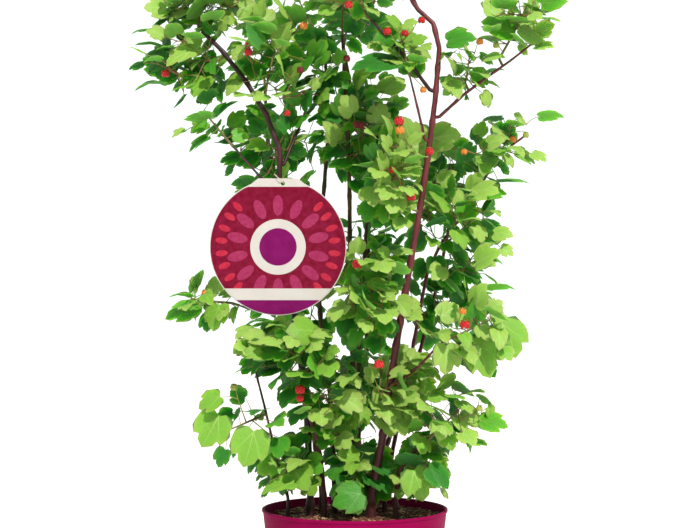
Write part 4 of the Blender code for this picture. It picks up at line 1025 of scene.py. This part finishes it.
def leafShape(collection, number, kind):
    rng = random.Random(kind["seed"])
    half = list(leafHalf)
    shallow = Vector(half[lobeTip]).lerp(Vector((0.34, 0.72)), 1 - kind["lobes"])
    half[lobeTip] = tuple(shallow)
    half[notch] = tuple(Vector(half[notch]).lerp(Vector((0.31, 0.70)), 1 - kind["lobes"]))
    right = [(u * kind["width"] * rng.uniform(0.95, 1.05), v + rng.uniform(-0.015, 0.015)) for u, v in half]
    left = [(-u * kind["width"] * rng.uniform(0.95, 1.05), v + rng.uniform(-0.015, 0.015)) for u, v in half]
    rim = [(0.014, 0.02)] + right + [(rng.uniform(-0.03, 0.03), 1.0)] + left[::-1] + [(-0.014, 0.02)]
    count, tip = len(rim), len(half) + 1
    sideRight, sideLeft = lobeTip + 1, count - 2 - lobeTip
    # the midrib is a strip between three pairs of points, and a side vein is a sliver from it to a lobe
    ribAt = ((0.014, 0.06), (0.013, 0.11), (0.010, 0.55))
    inner = [(side * u, v) for u, v in ribAt for side in (1, -1)]
    low, high, far = ((count + 2 * k, count + 2 * k + 1) for k in range(3))
    edges = [(i, (i + 1) % count) for i in range(count)]
    for side, foot, lobe in ((0, 0, sideRight), (1, count - 1, sideLeft)):
        edges += [(foot, low[side]), (low[side], high[side]), (high[side], far[side]), (far[side], tip),
                  (low[side], lobe), (high[side], lobe)]
    made = delaunay_2d_cdt([Vector(p) for p in rim + inner], edges, [list(range(count))], 1, 1e-6)
    flat, origin, faces = made[0], made[3], made[2]
    veinSets = [{0, count - 1, *low}, {*low, *high}, {*high, *far}, {*far, tip},
                {low[0], high[0], sideRight}, {low[1], high[1], sideLeft}]

    def heightAt(u, v):
        wave = 0.018 * math.sin(9 * u + 3 * kind["seed"]) * math.cos(7 * v)
        return (kind["fold"] * abs(u) - kind["side"] * 1.6 * u * u - kind["tip"] * v * v * abs(v) + wave
                + 0.05 * math.sin(math.pi * min(1, max(0, v))))

    shapePoints = [(p.x, p.y, heightAt(p.x, p.y)) for p in flat]
    source = [set(o) for o in origin]
    # the underside shares the rim, and has one point under each pair on the midrib
    lower = list(range(len(flat)))
    for pair in (low, high, far):
        ends = [i for i, names in enumerate(source) if names & set(pair)]
        height = min(shapePoints[i][2] for i in ends) - 1.6 * leafThickness
        for i in ends:
            lower[i] = len(shapePoints)
        shapePoints.append((0, flat[ends[0]].y, height))
    shapeFaces, zones = [], []
    for face in faces:
        a, b, c = (flat[i] for i in face)
        face = tuple(face) if (b - a).cross(c - a) > 0 else tuple(reversed(face))
        names = set().union(*(source[i] for i in face))
        shapeFaces.append(face)
        zones.append(2 if any(names <= vein for vein in veinSets) else 0)
        under = tuple(lower[i] for i in reversed(face))
        if len(set(under)) == 3:
            shapeFaces.append(under)
            zones.append(1)
    addShape(collection, f"leaf {number}", shapePoints, shapeFaces, zones)


tones = {  # top, underside, vein
    "leaves_deep": ("#2E7024", "#3B7736", "#387830"),
    "leaves_mid": ("#3D8320", "#437E36", "#488C2C"),
    "leaves_fresh": ("#569828", "#4D8B36", "#64A438"),
    "leaves_lime": ("#74A43A", "#5C943A", "#86B44C"),
    "leaves_pale": ("#8CB250", "#6C9E46", "#A0BE6C"),
}
toneSteps = [0.26, 0.46, 0.62, 0.84]


def sunOn(leaves):
    # how much of each leaf the key light reaches past the other leaves, and how squarely each faces it; addLeaves turns
    # this into painted light and shade, only in part the paler colour of leaves grown in the open
    samples = np.array([leafSamples(*leaf[:4])[[0, 1, 4, 5]] for leaf in leaves])
    centres = samples[:, 0]
    sizes = np.array([leaf[3] for leaf in leaves])
    facing = np.array([leaf[2].dot(sunward) for leaf in leaves])
    sun = np.array(sunward)
    open_ = np.zeros(len(leaves))
    for k in range(samples.shape[1]):
        gap = centres[None] - samples[:, None, k]
        along = gap @ sun
        aside = np.sqrt(np.maximum(0, (gap**2).sum(axis=2) - along**2))
        hit = (along > 0.003) & (aside < 0.40 * sizes[None] * np.sqrt(np.abs(facing))[None])
        np.fill_diagonal(hit, False)
        open_ += ~hit.any(axis=1)
    return open_ / samples.shape[1], facing


def addLeaves(found):
    shapes = shapeCollection("leaf shapes")
    for number, kind in enumerate(leafKinds):
        leafShape(shapes, number, kind)
    tree = scatterTree("leaf sprays", 3)
    rng = random.Random(3)
    dealt = {name: [] for name in tones}
    for leaf, openness, facing in zip(found["leaves"], *sunOn(found["leaves"])):
        neck, midrib, normal, length, shade, tone = leaf
        # painted light and shade: leaves the key light reaches and faces are dealt paler tones, leaves in shadow or
        # turned away deeper ones
        shade += 0.75 * (openness - 0.5) + 0.30 * (facing - 0.80)
        name = list(tones)[sum((shade if tone is None else tone) > step for step in toneSteps)]
        across = midrib.cross(normal)
        turn = Matrix((across, midrib, normal)).transposed().to_euler()
        dealt[name].append((neck, tuple(turn), (length, length, length), rng.randrange(len(leafKinds))))
    names = list(tones)
    for name, items in dealt.items():
        top, under, vein = tones[name]
        word = name.split("_")[1]
        # living blade: waxy and puckered between its veins on top, matt and paler beneath,
        # and thin enough for some light to come through it greener
        glow = {"Subsurface_Weight": 0.45, "Subsurface_Scale": 0.002, "Subsurface_Radius": (0.35, 1.0, 0.12)}
        upper, upperTree, upperShader = newMaterial(f"leaf blade, {word}, waxy top", top, 0.5, 1.42,
                                                       Specular_IOR_Level=0.3, **glow)
        addBump(upperTree, upperShader, noiseField(upperTree, 0.0050, 2.0), 0.5, 0.0016)
        below, belowTree, belowShader = newMaterial(f"leaf blade, {word}, downy underside", under, 0.75, 1.40,
                                                       Specular_IOR_Level=0.2, **glow)
        addBump(belowTree, belowShader, noiseField(belowTree, 0.0030, 2.0), 0.4, 0.0010)
        rib, _, _ = newMaterial(f"leaf vein, {word}", vein, 0.5, 1.42)
        piece = runTree(pointCloud(name, items), tree,
                        {"Shapes": shapes, "Material 0": upper, "Material 1": below, "Material 2": rib}, name)
        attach(piece, "root")
        if name == names[1]:
            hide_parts(*masses)
        print(name, len(items), "leaves", len(piece.data.polygons), "faces")


def addTwigs(found, tube):
    looks = {
        "mass_stems": ("twig bark, green wood turning brown", "#5C4A2A", "#76733A", found["stems"], 7, 0.0004),
        "twigs": ("twig bark, green wood", "#6B7A35", "#83603C", found["twigs"], 6, 0.0002),
        "leaf_stalks": ("leaf stalk, green flushed red", "#7F9440", "#96603F", found["stalks"], 5, 0.0),
    }
    for name, (label, colour, other, runs, sides, relief) in looks.items():
        material, tree, shader = newMaterial(label, colour, 0.55, 1.45)
        tree.links.new(colourRamp(tree, noiseField(tree, 0.03, 2.0), [(0.35, colour), (0.65, other)]),
                       shader.inputs["Base Color"])
        piece = runTree(curveObject(name, runs), tube, {"Sides": sides, "Ring Step": 0.009, "Relief": relief,
                                                        "Grain": 0.003, "Material": material}, name)
        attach(piece, "root")
        print(name, len(piece.data.polygons), "faces")


def addBerries(found):
    # each berry is a clump of drupelets under a small cap of five sepals
    shapes = shapeCollection("berry shapes")
    points, faces, zones = [], [], []
    drupelets = 34
    for i in range(drupelets):
        up = 1 - 1.72 * (i + 0.5) / drupelets
        turn = i * math.pi * (3 - math.sqrt(5))
        flat = math.sqrt(1 - up * up)
        centre = Vector((0.72 * flat * math.cos(turn), 0.72 * flat * math.sin(turn), 0.80 * up - 1.0)) * 0.5
        ball = bmesh.new()
        bmesh.ops.create_icosphere(ball, subdivisions=2, radius=0.155)
        base = len(points)
        points += [v.co + centre for v in ball.verts]
        faces += [tuple(base + v.index for v in f.verts) for f in ball.faces]
        zones += [0] * len(ball.faces)
        ball.free()
    for i in range(5):  # sepals: thin closed kites
        turn = 2 * math.pi * i / 5
        out = Vector((math.cos(turn), math.sin(turn), 0))
        side = Vector((-out.y, out.x, 0))
        base = len(points)
        points += [Vector((0, 0, 0.03)), out * 0.30 + side * 0.13 + Vector((0, 0, -0.03)), out * 0.62 + Vector((0, 0, -0.16)),
                   out * 0.30 - side * 0.13 + Vector((0, 0, -0.03)), out * 0.28 + Vector((0, 0, 0.015)),
                   out * 0.28 + Vector((0, 0, -0.05))]
        for a, b in ((0, 1), (1, 2), (2, 3), (3, 0)):
            faces += [(base + 4, base + b, base + a), (base + 5, base + a, base + b)]
            zones += [1, 1]
    addShape(shapes, "berry", points, faces, zones)
    tree = scatterTree("berries", 2)
    # the deeper red skin is painted shade on ripe berries
    looks = {"ripe": ("#C2131C", "#E0262A"), "dark": ("#6E0A12", "#8A141C"),
             "turning": ("#E0862F", "#F0A24A"), "green": ("#9FA94A", "#B6B863")}
    sepal, _, _ = newMaterial("berry sepal, green", "#5C8A35", 0.6, 1.4)
    for word, (colour, other) in looks.items():
        # taut skin full of juice: bright and glossy
        skin, skinTree, skinShader = newMaterial(f"berry skin, {word}", colour, 0.28, 1.42, Coat_Weight=0.25,
                                                 Coat_Roughness=0.15)
        items = [(place, (0, 0, spin), (size, size, size), 0) for place, size, tone, spin in found["berries"] if tone == word]
        if not items:
            continue
        piece = runTree(pointCloud(f"berries_{word}", items), tree,
                        {"Shapes": shapes, "Material 0": skin, "Material 1": sepal}, f"berries_{word}")
        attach(piece, "root")
        print("berries", word, len(items))


addStage()
addPot()
addSoil()
addTag()
limbs = allLimbs()
tube = tubeTree()
addLimbs(limbs, tube)
space = Space(limbs)
found = {"stems": [], "twigs": [], "stalks": [], "leaves": [], "berries": []}
for massName in masses:
    before = len(found["leaves"])
    growMass(massName, space, limbs, found)
    print(massName, len(found["leaves"]) - before, "leaves")
addTwigs(found, tube)
addLeaves(found)
addBerries(found)
print("leaves in all", len(found["leaves"]), "berries", len(found["berries"]))
